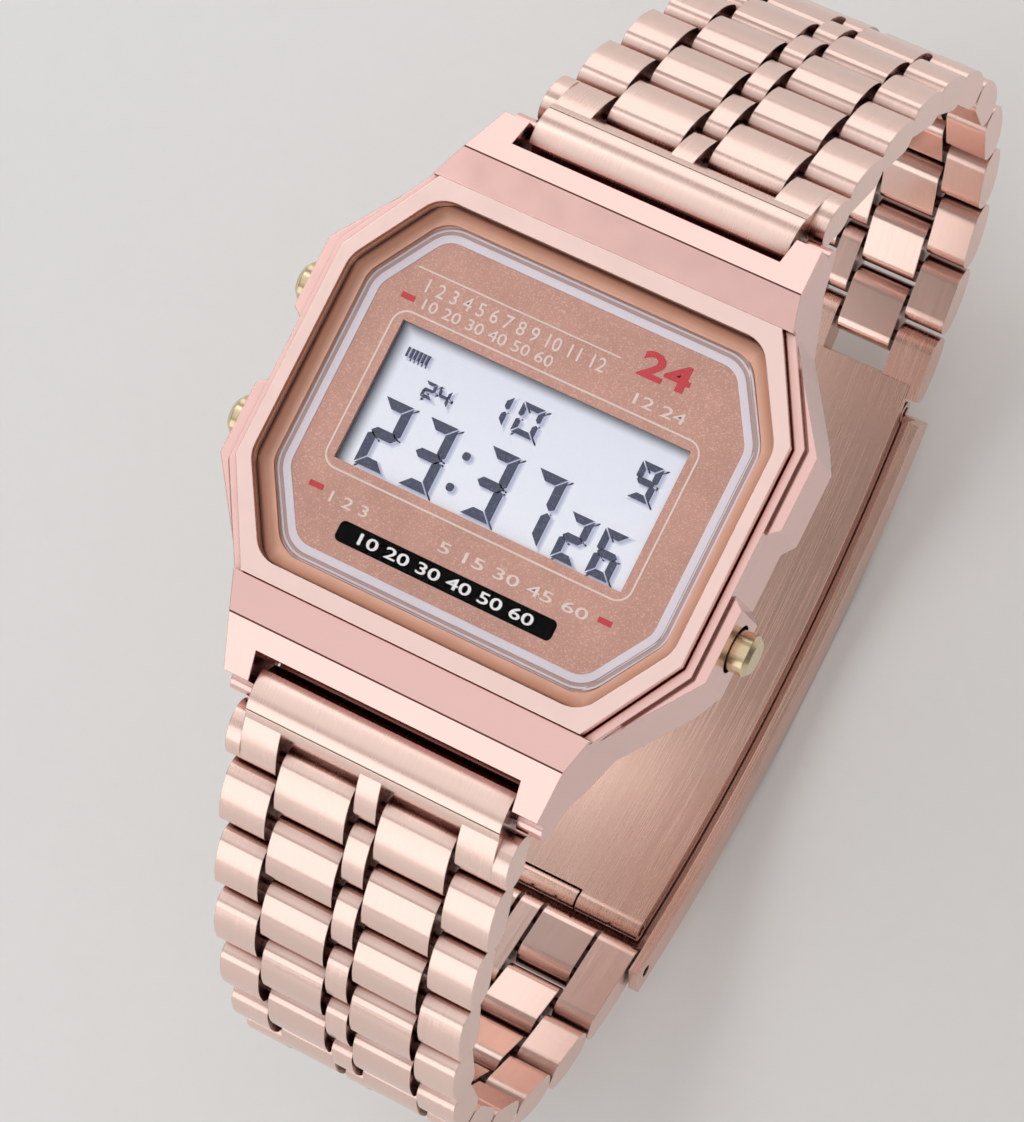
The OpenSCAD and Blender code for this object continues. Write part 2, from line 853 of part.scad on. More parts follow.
module clasp_middle_blade() {
    color(ROSE_DARK) difference() {
        union() {
            difference() {
                arc_plate([-blade_x, blade_x], [middle_n, middle_n + blade_t],
                          [inner_pin_deg + lap_deg, outer_pin_deg - lap_deg]);
                for (p = [inner_pin, outer_pin]) at_yz(p) side_knuckles(knuckle_gap);
            }
            for (p = [inner_pin, outer_pin]) at_yz(p) middle_knuckle();
        }
        for (p = [inner_pin, outer_pin]) at_yz(p) rod(clasp_pin_r, -far, far);
    }
}

module clasp_pins() {
    for (p = [inner_pin, outer_pin]) color(STEEL) at_yz(p) rod(clasp_pin_r, -clasp_pin_x, clasp_pin_x);
}

// Section of the cover, a channel whose walls reach in beside the blades
module channel() {
    difference() {
        translate([-end_r, -wall_out]) square([cover_top + end_r, 2 * wall_out]);
        translate([-far, -wall_in]) square([far + cover_n, 2 * wall_in]);
    }
}

module clasp_cover() {
    color(ROSE) difference() {
        union() {
            difference() {
                along_arc([ears_deg, cover_to_deg]) channel();
                arc_plate([-ear_in, ear_in], [-2 * end_r, far], [ears_deg - ear_deg, cover_from_deg]);
            }
            at_yz(outer_pin) side_knuckles();
        }
        at_yz([-strap_end[0], strap_end[1]]) rod(tip_r + run_fit, -far, far);
        at_yz(outer_pin) {
            middle_knuckle(knuckle_gap);
            rod(clasp_pin_r + run_fit, -blade_x, blade_x);
        }
    }
}

module clasp_spring_bar() {
    color(STEEL) at_yz([-strap_end[0], strap_end[1]]) {
        rod(strap_bar_r, -strap_bar_x, strap_bar_x);
        rod(tip_r, -outer_out(ROWS), outer_out(ROWS));
    }
}

case_middle();
crystal_ring();
crystal();
crystal_gasket();
dial_plate();
lcd_panel();
light_guide();
backlight_lamp();
module_frame();
contact_strips();
circuit_board();
quartz_can();
coin_cell();
cell_clip();
sounder_disc();
case_back();
back_gasket();
back_screws();
button_light();
button_mode();
button_start();
clip_light();
clip_mode();
clip_start();
button_springs();
button_seals();
lug_spring_bars();
end_link_12();
row(0, 1);  // row_12_01
row(0, 2);  // row_12_02
row(0, 3);  // row_12_03
row(0, 4);  // row_12_04
row(0, 5);  // row_12_05
row(0, 6);  // row_12_06
row(0, 7);  // row_12_07
row(0, 8);  // row_12_08
row(0, 9);  // row_12_09
row(0, 10);  // row_12_10
end_link_6();
row(1, 1);  // row_6_01
row(1, 2);  // row_6_02
row(1, 3);  // row_6_03
row(1, 4);  // row_6_04
row(1, 5);  // row_6_05
row(1, 6);  // row_6_06
row(1, 7);  // row_6_07
row(1, 8);  // row_6_08
row(1, 9);  // row_6_09
row(1, 10);  // row_6_10
clasp_strap_pin();
clasp_inner_blade();
clasp_middle_blade();
clasp_pins();
clasp_cover();
clasp_spring_bar();
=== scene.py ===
"""Looks of a digital wristwatch with a steel bracelet and a folding clasp.

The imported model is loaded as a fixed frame. Each sub-assembly is a class that dresses its own parts and adds
what is printed or shown on them: dial lines, numerals, display segments and their shadows. Names that end in
_mm hold millimetres, and mm() turns them to the scene's metres.
"""
import logging
import math
from dataclasses import dataclass, field, replace
from enum import Enum
from typing import Any, Sequence

import bpy
from mathutils import Matrix, Vector


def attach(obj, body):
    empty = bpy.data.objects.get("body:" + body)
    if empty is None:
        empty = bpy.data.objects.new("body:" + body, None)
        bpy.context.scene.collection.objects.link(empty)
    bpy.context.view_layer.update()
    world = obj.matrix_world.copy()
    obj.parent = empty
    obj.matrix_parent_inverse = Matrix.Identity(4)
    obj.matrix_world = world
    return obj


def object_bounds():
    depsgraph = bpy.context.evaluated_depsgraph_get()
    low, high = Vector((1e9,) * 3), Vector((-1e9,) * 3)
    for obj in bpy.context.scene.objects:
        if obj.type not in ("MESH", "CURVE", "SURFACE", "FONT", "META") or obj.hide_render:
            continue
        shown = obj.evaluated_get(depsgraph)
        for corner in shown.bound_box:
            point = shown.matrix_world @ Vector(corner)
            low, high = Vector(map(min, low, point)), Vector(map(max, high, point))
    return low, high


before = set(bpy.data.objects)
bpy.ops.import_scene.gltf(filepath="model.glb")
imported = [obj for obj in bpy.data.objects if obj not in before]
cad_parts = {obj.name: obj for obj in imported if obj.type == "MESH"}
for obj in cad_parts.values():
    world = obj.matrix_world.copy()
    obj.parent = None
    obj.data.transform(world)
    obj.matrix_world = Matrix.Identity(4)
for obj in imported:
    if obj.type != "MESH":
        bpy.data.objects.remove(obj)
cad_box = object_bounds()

log = logging.getLogger("watch")

Point = tuple[float, float]
Span = tuple[float, float]
Pair = tuple[float, float]
Place = tuple[float, float, float]
Box = tuple[float, float, float, float]
LongOctagon = tuple[float, float, float, float]
Outline = list[Point]
Colour = tuple[float, float, float, float]
Socket = bpy.types.NodeSocket

# The crystal's rim is a long octagon: half width, half height, and half of its straight sides along X and Y.
RIM_MM: LongOctagon = (14.2, 11.9, 10.8, 6.5)
# The dial's window over the display.
WINDOW_MIDDLE_MM: Point = (-0.3, 0.0)
WINDOW_HALF_MM: Pair = (9.7, 4.55)

# Most values of a fine noise lie in the first range, and most of a wide soft one in the second.
FINE_SPAN: Span = (0.3, 0.7)
CLOUD_SPAN: Span = (0.35, 0.65)
WHOLE: Span = (0.0, 1.0)
# How many finer layers a noise has: worked lines, a skin or cloud, and a plain soft one.
LINE_DETAIL, SKIN_DETAIL, SOFT_DETAIL = 4.0, 3.0, 2.0
# Cosine between a face and its softened normal, where an edge's wear starts and where it is full.
EDGE_SPAN: Span = (0.995, 0.93)
# Share of open sky below which seams and gaps get the full painted shade.
SEAM_SHADE_FROM = 0.15
# Rays that a Bevel or AmbientOcclusion node sends out.
NODE_SAMPLES = 4
# Depth that typed figures have before they are stretched to their place, and the parts of each of their curves.
TYPE_DEPTH, TYPE_STEPS = 0.1, 3


def mm(value: float) -> float:
    """Turn millimetres to metres."""
    return value * 0.001


def linear(hex_colour: str) -> Colour:
    """Turn an sRGB hex colour to the linear colour that a socket takes.

    Args:
        hex_colour: Six hex digits after a hash sign.

    Returns:
        Linear red, green and blue, and an alpha of 1.
    """
    parts = [int(hex_colour[i:i + 2], 16) / 255 for i in (1, 3, 5)]
    red, green, blue = (p / 12.92 if p <= 0.04045 else ((p + 0.055) / 1.055) ** 2.4 for p in parts)
    return (red, green, blue, 1.0)


class Grain(Enum):
    """Which way a surface was worked."""

    ALONG_STRAP = "along_strap"
    ACROSS = "across"
    TURNED = "turned"
    NONE = "none"


class NodeGraph:
    """A material or world node tree, with one way to add a node."""

    def __init__(self, tree: bpy.types.NodeTree) -> None:
        """Start with an empty tree."""
        self.tree = tree
        tree.nodes.clear()

    def add(self, kind: str, inputs: dict[Any, Any] | Sequence[Any] = (), **settings: Any) -> bpy.types.Node:
        """Add a node, set its options, and set or link its inputs.

        Args:
            kind: The node's type without its ShaderNode prefix.
            inputs: Values or sockets, by the input's name or number, or in the inputs' own order.
            **settings: Options set on the node itself.

        Returns:
            The new node.
        """
        node = self.tree.nodes.new("ShaderNode" + kind)
        for key, value in settings.items():
            setattr(node, key, value)
        for key, value in inputs.items() if isinstance(inputs, dict) else enumerate(inputs):
            if isinstance(value, Socket):
                self.tree.links.new(value, node.inputs[key])
            else:
                node.inputs[key].default_value = value
        return node

    def place(self, scale: Sequence[float] = (1, 1, 1), shift_mm: Sequence[float] = (0, 0, 0)) -> Socket:
        """Read the object's own coordinates, shifted and then scaled along each axis.

        Args:
            scale: Factor along each axis.
            shift_mm: The point that becomes the origin, in millimetres.

        Returns:
            The coordinates.
        """
        own = self.add("TexCoord").outputs["Object"]
        moved = self.add("VectorMath", (own, [mm(s) for s in shift_mm]), operation="SUBTRACT").outputs[0]
        return self.add("VectorMath", (moved, scale), operation="MULTIPLY").outputs[0]

    def pattern(self, size_mm: float | Sequence[float], detail: float) -> Socket:
        """Lay a noise over the object, with grains of a real size.

        Args:
            size_mm: The grains' size in millimetres, all over or along each axis.
            detail: How many finer layers the noise has.

        Returns:
            The noise's value, from 0 to 1.
        """
        sizes = (size_mm,) * 3 if isinstance(size_mm, float) else size_mm
        spot = self.place([1 / mm(s) for s in sizes])
        return self.add("TexNoise", {"Vector": spot, "Scale": 1.0, "Detail": detail}).outputs["Fac"]

    def tinted(self, value: Socket, span: Span, shares: Span, first: Any, second: Any) -> Socket:
        """Lay one colour over another, more or less of it as a value changes over the surface.

        Args:
            value: The value.
            span: The two values between which the second colour's share changes.
            shares: The second colour's share at those two values.
            first: The colour below.
            second: The colour laid over it.

        Returns:
            The mixed colour.
        """
        share = self.add("MapRange", (value, *span, *shares)).outputs[0]
        return self.add("Mix", {0: share, 6: first, 7: second}, data_type="RGBA").outputs[2]


@dataclass(frozen=True)
class Finish:
    """A surface finish.

    Attributes:
        name: Its material and how the surface was made.
        colour: Its main colour.
    """

    name: str
    colour: str

    def darker(self, share: float) -> Colour:
        """Return the finish's own colour, darkened by a share."""
        return (*(c * (1 - share) for c in linear(self.colour)[:3]), 1.0)

    def material(self) -> bpy.types.Material:
        """Make the finish's material, or find it if it is made.

        Returns:
            The material.
        """
        found = bpy.data.materials.get(self.name)
        if found:
            return found
        made = bpy.data.materials.new(self.name)
        made.use_nodes = True
        made.diffuse_color = linear(self.colour)
        graph = NodeGraph(made.node_tree)
        graph.add("OutputMaterial", {"Surface": self.surface(graph)})
        return made

    def surface(self, graph: NodeGraph) -> Socket:
        """Return the shader of the finish."""
        raise NotImplementedError


@dataclass(frozen=True)
class WorkedMetal(Finish):
    """Metal with worked lines or a polish, soft edges with wear and a painted highlight, and painted shade in
    its seams.

    The worked lines change the roughness, the tone and the slope of the surface, so a lamp's reflection spreads
    across them. Edges get a thin pale line that is partly wear on the plating and partly a painted highlight,
    the light that a broken edge catches. Seams and narrow gaps are painted dark and warm where little open sky
    is seen: painted shade, for the light that leaves them only after many bounces off the plating. A band on
    each side of the strap's middle can be smoother, as the bracelet's wide links are.

    Attributes:
        edge_wear_highlight_colour: Colour where edges wear, which is also a painted highlight along them.
        rough: Roughness where the lines are low and where they are high.
        grain: Which way the surface was worked.
        pitch_mm: Distance between lines, or the width of a polish's waves.
        length_mm: Length of the lines.
        depth_mm: Depth of the lines.
        tone: How much darker the colour is where the lines are low.
        edge_mm: Radius of the softened edges.
        edge_wear_highlight_share: Share of that colour on an edge.
        seam_shade: Painted shade colour deep in seams and narrow gaps.
        seam_shade_mm: Widest gap that gets the painted shade.
        seam_shade_to: Share of open sky at which the painted shade is gone.
        centre_mm: A point on the axis of turned lines.
        turned_about: 1 for each of the two axes in whose plane turned lines are rings.
        satin_from_mm: The smoother band's inner side, from the strap's middle.
        satin_to_mm: Its outer side, or 0 where there is no band.
        satin_gloss: How much less rough the band is.
        satin_calm: Share of the lines' height that is left in it.
        haze_mm: Size of the faint clouds in the gloss.
        haze_rough: Least and most roughness that a cloud adds.
    """

    edge_wear_highlight_colour: str = "#FFF1E4"
    rough: Span = (0.12, 0.2)
    grain: Grain = Grain.NONE
    pitch_mm: float = 0.11
    length_mm: float = 5.0
    depth_mm: float = 0.002
    tone: float = 0.1
    edge_mm: float = 0.09
    edge_wear_highlight_share: float = 0.5
    seam_shade: str = "#7A3E2E"
    seam_shade_mm: float = 1.1
    seam_shade_to: float = 0.65
    centre_mm: Place = (0.0, 0.0, 0.0)
    turned_about: Place = (1.0, 1.0, 0.0)
    satin_from_mm: float = 0.0
    satin_to_mm: float = 0.0
    satin_gloss: float = 0.06
    satin_calm: float = 0.35
    haze_mm: float = 4.0
    haze_rough: Span = (-0.006, 0.01)

    def lines(self, graph: NodeGraph) -> Socket:
        """Draw the worked lines, or the soft waves that a polish leaves.

        Args:
            graph: The material's nodes.

        Returns:
            Their height, from 0 to 1.
        """
        pitch, length = self.pitch_mm, self.length_mm
        if self.grain is Grain.ALONG_STRAP:
            return graph.pattern((pitch, length, length), LINE_DETAIL)
        if self.grain is Grain.ACROSS:
            return graph.pattern((length, pitch, pitch), LINE_DETAIL)
        if self.grain is Grain.NONE:
            return graph.pattern(pitch, SOFT_DETAIL)
        flat = graph.place([axis / mm(pitch) for axis in self.turned_about], self.centre_mm)
        ring = graph.add("VectorMath", (flat,), operation="LENGTH").outputs["Value"]
        spot = graph.add("CombineXYZ", (ring,)).outputs[0]
        return graph.add("TexNoise", {"Vector": spot, "Scale": 1.0, "Detail": LINE_DETAIL}).outputs["Fac"]

    def satin_band(self, graph: NodeGraph) -> Socket:
        """Mark the smoother band along the wide links on both sides of the strap's middle.

        Args:
            graph: The material's nodes.

        Returns:
            1 inside the band and 0 outside it.
        """
        x = graph.add("SeparateXYZ", (graph.place(),)).outputs[0]
        across = graph.add("Math", (x,), operation="ABSOLUTE").outputs[0]
        middle = mm(self.satin_to_mm + self.satin_from_mm) / 2
        half = mm(self.satin_to_mm - self.satin_from_mm) / 2
        return graph.add("Math", (across, middle, half), operation="COMPARE").outputs[0]

    def surface(self, graph: NodeGraph) -> Socket:
        """Make the metal's shader.

        Args:
            graph: The material's nodes.

        Returns:
            The shader.
        """
        lines = self.lines(graph)
        rough = graph.add("MapRange", (lines, *FINE_SPAN, *self.rough)).outputs[0]
        if self.satin_to_mm:
            satin = self.satin_band(graph)
            rough = graph.add("Math", (satin, -self.satin_gloss, rough), operation="MULTIPLY_ADD").outputs[0]
            calm = graph.add("MapRange", (satin, *WHOLE, 1.0, self.satin_calm)).outputs[0]
            lines = graph.add("Math", (lines, calm), operation="MULTIPLY").outputs[0]
        cloud = graph.pattern(self.haze_mm, SKIN_DETAIL)
        haze = graph.add("MapRange", (cloud, *CLOUD_SPAN, *self.haze_rough)).outputs[0]
        rough = graph.add("Math", (rough, haze), operation="ADD").outputs[0]

        soft = graph.add("Bevel", {"Radius": mm(self.edge_mm)}, samples=NODE_SAMPLES).outputs[0]
        flat = graph.add("NewGeometry").outputs["Normal"]
        meet = graph.add("VectorMath", (soft, flat), operation="DOT_PRODUCT").outputs["Value"]
        sky = graph.add("AmbientOcclusion", {"Distance": mm(self.seam_shade_mm)}, samples=NODE_SAMPLES).outputs["AO"]
        colour = graph.tinted(lines, FINE_SPAN, WHOLE, self.darker(self.tone), linear(self.colour))
        # Edges: wear on the plating, and a painted highlight.
        colour = graph.tinted(meet, EDGE_SPAN, (0.0, self.edge_wear_highlight_share), colour, linear(self.edge_wear_highlight_colour))
        # Painted shade: seams and gaps darken where little open sky is seen.
        colour = graph.tinted(sky, (SEAM_SHADE_FROM, self.seam_shade_to), (1.0, 0.0), colour, linear(self.seam_shade))
        slope = graph.add("Bump", {
            "Strength": 1.0, "Distance": mm(self.depth_mm), "Height": lines, "Normal": soft}).outputs[0]
        return graph.add("BsdfPrincipled", {
            "Base Color": colour, "Metallic": 1.0, "Roughness": rough, "Normal": slope}).outputs[0]


@dataclass(frozen=True)
class Moulded(Finish):
    """Moulded, printed or painted matter with a fine skin.

    The skin's grain shows as small changes of tone and gloss, and a coarser cloud keeps wide areas from looking
    flat.

    Attributes:
        rough: Roughness where the skin is low and where it is high.
        grain_mm: Size of the skin's grain.
        depth_mm: Depth of the grain.
        tone: How much darker the darkest places are.
        cloud_mm: Size of the clouds.
        cloud_share: Their share in the change of tone.
        coat: Weight of a clear coat.
        coat_rough: The coat's roughness.
        edge_mm: Radius of the softened edges.
        clear: Share of light that passes through.
        shine: Strength of the reflection, where 0.5 is plain.
    """

    rough: Span = (0.4, 0.55)
    grain_mm: float = 0.15
    depth_mm: float = 0.002
    tone: float = 0.12
    cloud_mm: float = 3.0
    cloud_share: float = 0.4
    coat: float = 0.0
    coat_rough: float = 0.08
    edge_mm: float = 0.05
    clear: float = 0.0
    shine: float = 0.5

    def surface(self, graph: NodeGraph) -> Socket:
        """Make the shader of the skin.

        Args:
            graph: The material's nodes.

        Returns:
            The shader.
        """
        skin = graph.pattern(self.grain_mm, SKIN_DETAIL)
        cloud = graph.pattern(self.cloud_mm, SOFT_DETAIL)
        both = graph.add("Mix", {0: self.cloud_share, 2: skin, 3: cloud}, data_type="FLOAT").outputs[0]
        colour = graph.tinted(both, CLOUD_SPAN, WHOLE, self.darker(self.tone), linear(self.colour))
        rough = graph.add("MapRange", (skin, *FINE_SPAN, *self.rough)).outputs[0]
        soft = graph.add("Bevel", {"Radius": mm(self.edge_mm)}, samples=NODE_SAMPLES).outputs[0]
        slope = graph.add("Bump", {
            "Strength": 1.0, "Distance": mm(self.depth_mm), "Height": skin, "Normal": soft}).outputs[0]
        return graph.add("BsdfPrincipled", {
            "Base Color": colour, "Metallic": 0.0, "Roughness": rough, "Coat Weight": self.coat,
            "Coat Roughness": self.coat_rough, "Transmission Weight": self.clear,
            "Specular IOR Level": self.shine, "Normal": slope}).outputs[0]


@dataclass(frozen=True)
class FlakeLacquer(Finish):
    """Sprayed lacquer with metal flakes: a satin ground with tiny painted glints and painted dark specks.

    Each flake leans its own way. Those that lean furthest from the light are painted darker, as shade, and those
    that face it are painted brighter, as glints.

    Attributes:
        flake: Colour of a painted glint on a flake.
        flake_mm: Size of a flake, about twice a real one's so that it shows.
        depth_mm: How far a flake stands out of the lacquer.
        dark: Share of the flakes that get painted shade, and how far it darkens the ground.
        bright: Share of the flakes that get a painted glint, and how far it brightens it.
        cloud_mm: Size of the ground's uneven patches.
        cloud_shares: Share of the full colour in its darkest and its palest patches.
        tone: How much darker the dark colour is.
        metallic: How much the lacquer mirrors like metal.
        rough: Its roughness.
    """

    flake: str = "#F0CDBC"
    flake_mm: float = 0.07
    depth_mm: float = 0.004
    dark: Pair = (0.35, 0.35)
    bright: Pair = (0.28, 0.38)
    cloud_mm: float = 2.5
    cloud_shares: Span = (0.25, 1.0)
    tone: float = 0.14
    metallic: float = 0.3
    rough: float = 0.42

    def surface(self, graph: NodeGraph) -> Socket:
        """Make the shader of the lacquer.

        Args:
            graph: The material's nodes.

        Returns:
            The shader.
        """
        spot = graph.place((1 / mm(self.flake_mm),) * 3)
        cells = graph.add("TexVoronoi", {"Vector": spot, "Scale": 1.0}).outputs["Color"]
        lean = graph.add("SeparateColor", (cells,)).outputs[0]
        cloud = graph.pattern(self.cloud_mm, SKIN_DETAIL)
        (dark_share, dark_by), (bright_share, bright_by) = self.dark, self.bright
        deep = self.darker(self.tone)
        colour = graph.tinted(cloud, CLOUD_SPAN, self.cloud_shares, deep, linear(self.colour))
        # Painted shade on flakes that lean away, and painted glints on those that face the light.
        colour = graph.tinted(lean, (0.0, dark_share), (dark_by, 0.0), colour, deep)
        colour = graph.tinted(lean, (1.0 - bright_share, 1.0), (0.0, bright_by), colour, linear(self.flake))
        slope = graph.add("Bump", {"Strength": 1.0, "Distance": mm(self.depth_mm), "Height": lean}).outputs[0]
        return graph.add("BsdfPrincipled", {
            "Base Color": colour, "Metallic": self.metallic, "Roughness": self.rough,
            "Normal": slope}).outputs[0]


@dataclass(frozen=True)
class ClearCrystal(Finish):
    """Clear cast acrylic with polished faces, which lets lamps through to the dial.

    The index is set lower than acrylic's own, because a coat against glare takes most of the reflection away.

    Attributes:
        rough: Roughness where the surface is smeared.
        ior: Index of refraction.
        smear_mm: Size of the smears.
        smear_span: Values of the noise between which a smear builds up.
        passed: Colour of the light that reaches the dial.
    """

    rough: float = 0.015
    ior: float = 1.12
    smear_mm: float = 2.2
    smear_span: Span = (0.4, 0.7)
    passed: str = "#F4F2F0"

    def surface(self, graph: NodeGraph) -> Socket:
        """Mix clear resin for what is seen with a plain opening for shadow rays.

        Args:
            graph: The material's nodes.

        Returns:
            The shader.
        """
        smears = graph.pattern(self.smear_mm, SKIN_DETAIL)
        rough = graph.add("MapRange", (smears, *self.smear_span, 0.0, self.rough)).outputs[0]
        resin = graph.add("BsdfPrincipled", {
            "Base Color": linear(self.colour), "Metallic": 0.0, "IOR": self.ior, "Transmission Weight": 1.0,
            "Roughness": rough}).outputs[0]
        opening = graph.add("BsdfTransparent", {"Color": linear(self.passed)}).outputs[0]
        shade = graph.add("LightPath").outputs["Is Shadow Ray"]
        return graph.add("MixShader", (shade, resin, opening)).outputs[0]


@dataclass(frozen=True)
class DisplayReflector(Finish):
    """The display's pearl reflector, with a painted soft shade along two sides where the dial's window shades
    it, and painted shade that makes it darker and cooler towards its upper side.

    Attributes:
        pearl: Colour of the pearl's grains.
        pearl_mm: Size of the grains.
        pearl_share: Share of their colour.
        upper: Painted shade colour, darker and cooler, that comes in towards the upper side.
        upper_shade_share: Its share there.
        shade: Colour of the window's painted shade.
        left_mm: How far the shade reaches in from the left side.
        left_share: Its share at that side.
        top_mm: How far it reaches in from the upper side.
        top_share: Its share at that side.
        rough: Roughness.
        ior: The glass's index of refraction.
        coat: Weight of the glass's gloss.
        coat_rough: Roughness of the gloss.
    """

    pearl: str = "#BFC6DA"
    pearl_mm: float = 0.08
    pearl_share: float = 0.12
    upper: str = "#C9D2E8"
    upper_shade_share: float = 0.35
    shade: str = "#4C5468"
    left_mm: float = 1.1
    left_share: float = 1.0
    top_mm: float = 0.75
    top_share: float = 0.8
    rough: float = 0.35
    ior: float = 1.5
    coat: float = 0.3
    coat_rough: float = 0.1

    def surface(self, graph: NodeGraph) -> Socket:
        """Make the reflector's shader.

        Args:
            graph: The material's nodes.

        Returns:
            The shader.
        """
        (middle_x, middle_y), (half_x, half_y) = WINDOW_MIDDLE_MM, WINDOW_HALF_MM
        x, y = graph.add("SeparateXYZ", (graph.place(),)).outputs[:2]
        falls = (
            (x, mm(middle_x - half_x), mm(self.left_mm), self.left_share),
            (y, mm(middle_y + half_y), -mm(self.top_mm), self.top_share))
        from_left, from_top = (
            graph.add("MapRange", (value, edge, edge + reach, share, 0.0),
                      interpolation_type="SMOOTHSTEP").outputs[0]
            for value, edge, reach, share in falls)
        shade = graph.add("Math", (from_left, from_top), operation="MAXIMUM").outputs[0]
        pearl = graph.pattern(self.pearl_mm, SOFT_DETAIL)
        colour = graph.tinted(pearl, FINE_SPAN, (0.0, self.pearl_share), linear(self.colour), linear(self.pearl))
        # Painted shade: darker and cooler towards the upper side.
        colour = graph.tinted(y, (-mm(half_y), mm(half_y)), (0.0, self.upper_shade_share), colour, linear(self.upper))
        # Painted shade along the window's left and upper sides.
        colour = graph.tinted(shade, WHOLE, WHOLE, colour, linear(self.shade))
        return graph.add("BsdfPrincipled", {
            "Base Color": colour, "Metallic": 0.0, "Roughness": self.rough, "IOR": self.ior,
            "Coat Weight": self.coat, "Coat Roughness": self.coat_rough}).outputs[0]


@dataclass(frozen=True)
class PaintedBevelReflection(Finish):
    """Painted reflection of the rose case wall in the crystal's bevel, laid as a copper band on the underside of
    the crystal's rim, with painted shade where the rim's edge shades it.

    Attributes:
        edge: Painted shade colour at the rim's edge.
        turn: Colour where the shade turns to copper.
        edge_mm: Distance inside the rim up to which the edge's colour is full.
        turn_mm: Distance at which the turn's colour is full.
        width_mm: Distance at which the lacquer's own colour is full.
        cloud_mm: Size of uneven patches in the painted reflection.
        cloud_share: How far they show.
        metallic: How much the band mirrors like metal.
        rough: Its roughness.
    """

    edge: str = "#6E3D2E"
    turn: str = "#BA8066"
    edge_mm: float = 0.12
    turn_mm: float = 0.3
    width_mm: float = 0.95
    cloud_mm: float = 1.5
    cloud_share: float = 0.18
    metallic: float = 0.4
    rough: float = 0.4

    def depth_inside(self, graph: NodeGraph) -> Socket:
        """Measure how far a point lies inside the crystal's rim.

        Args:
            graph: The material's nodes.

        Returns:
            The distance to the rim's nearest side, in metres.
        """
        half_x, half_y, flat_x, flat_y = RIM_MM
        slant = Vector((half_y - flat_y, half_x - flat_x)).normalized()
        sides = (((1.0, 0.0), half_x), ((0.0, 1.0), half_y), (slant, half_x * slant.x + flat_y * slant.y))
        quarter = graph.add("VectorMath", (graph.place(),), operation="ABSOLUTE").outputs[0]
        depths = []
        for outward, reach in sides:
            along = graph.add("VectorMath", (quarter, (*outward, 0.0)), operation="DOT_PRODUCT").outputs["Value"]
            depths.append(graph.add("Math", (mm(reach), along), operation="SUBTRACT").outputs[0])
        nearest = graph.add("Math", depths[:2], operation="MINIMUM").outputs[0]
        return graph.add("Math", (nearest, depths[2]), operation="MINIMUM").outputs[0]

    def surface(self, graph: NodeGraph) -> Socket:
        """Make the shader of the painted reflection and its painted shade.

        Args:
            graph: The material's nodes.

        Returns:
            The shader.
        """
        inside = self.depth_inside(graph)
        cloud = graph.pattern(self.cloud_mm, SOFT_DETAIL)
        edge, turn, width = mm(self.edge_mm), mm(self.turn_mm), mm(self.width_mm)
        colour = graph.tinted(inside, (turn, width), WHOLE, linear(self.turn), linear(self.colour))
        colour = graph.tinted(cloud, CLOUD_SPAN, (0.0, self.cloud_share), colour, linear(self.turn))
        colour = graph.tinted(inside, (edge, turn), WHOLE, linear(self.edge), colour)
        return graph.add("BsdfPrincipled", {
            "Base Color": colour, "Metallic": self.metallic, "Roughness": self.rough}).outputs[0]


@dataclass(frozen=True)
class PrintedBoard(Finish):
    """Glass-epoxy laminate under solder mask, with plated tracks.

    Attributes:
        track: Colour of the tracks.
        tracks_mm: Distance between tracks.
        track_share: A track's width as a share of that distance.
        weave: Colour of the weave under the mask.
        weave_mm: Distance between its threads.
        weave_share: How far it shows.
        depth_mm: How far the tracks stand out.
        relief: Strength of their edges.
        metallic: How much the tracks mirror like metal.
        rough: Roughness.
    """

    track: str = "#C9A35C"
    tracks_mm: float = 2.0
    track_share: float = 0.06
    weave: str = "#0C3B1F"
    weave_mm: float = 0.2
    weave_share: float = 0.4
    depth_mm: float = 0.03
    relief: float = 0.6
    metallic: float = 0.9
    rough: float = 0.38

    def surface(self, graph: NodeGraph) -> Socket:
        """Make the board's shader.

        Args:
            graph: The material's nodes.

        Returns:
            The shader.
        """
        spot = graph.place((1 / mm(self.tracks_mm),) * 3)
        tracks = graph.add("TexBrick", {
            "Vector": spot, "Scale": 1.0, "Mortar Size": self.track_share, "Mortar Smooth": 0.0}).outputs["Fac"]
        weave = graph.pattern(self.weave_mm, SOFT_DETAIL)
        colour = graph.tinted(weave, FINE_SPAN, (0.0, self.weave_share), linear(self.colour), linear(self.weave))
        colour = graph.tinted(tracks, WHOLE, WHOLE, colour, linear(self.track))
        metallic = graph.add("Math", (tracks, self.metallic), operation="MULTIPLY").outputs[0]
        slope = graph.add("Bump", {
            "Strength": self.relief, "Distance": mm(self.depth_mm), "Height": tracks}).outputs[0]
        return graph.add("BsdfPrincipled", {
            "Base Color": colour, "Metallic": metallic, "Roughness": self.rough, "Normal": slope}).outputs[0]


# Rose-gold ion plating over polished steel: warm pink with clear reflections and a faint haze from wear.
POLISHED_ROSE = WorkedMetal(
    "Steel_rose_plated_polished", "#F0C6BF", rough=(0.17, 0.21), pitch_mm=1.75, depth_mm=0.0002, tone=0.02,
    edge_wear_highlight_share=0.35)
# The ring is polished brighter than the body, so its band looks almost cream.
RING_ROSE = WorkedMetal(
    "Steel_rose_plated_ring", "#F5D6CE", rough=(0.11, 0.15), pitch_mm=1.75, depth_mm=0.0002, tone=0.03,
    edge_wear_highlight_share=0.35, seam_shade="#A8694F")
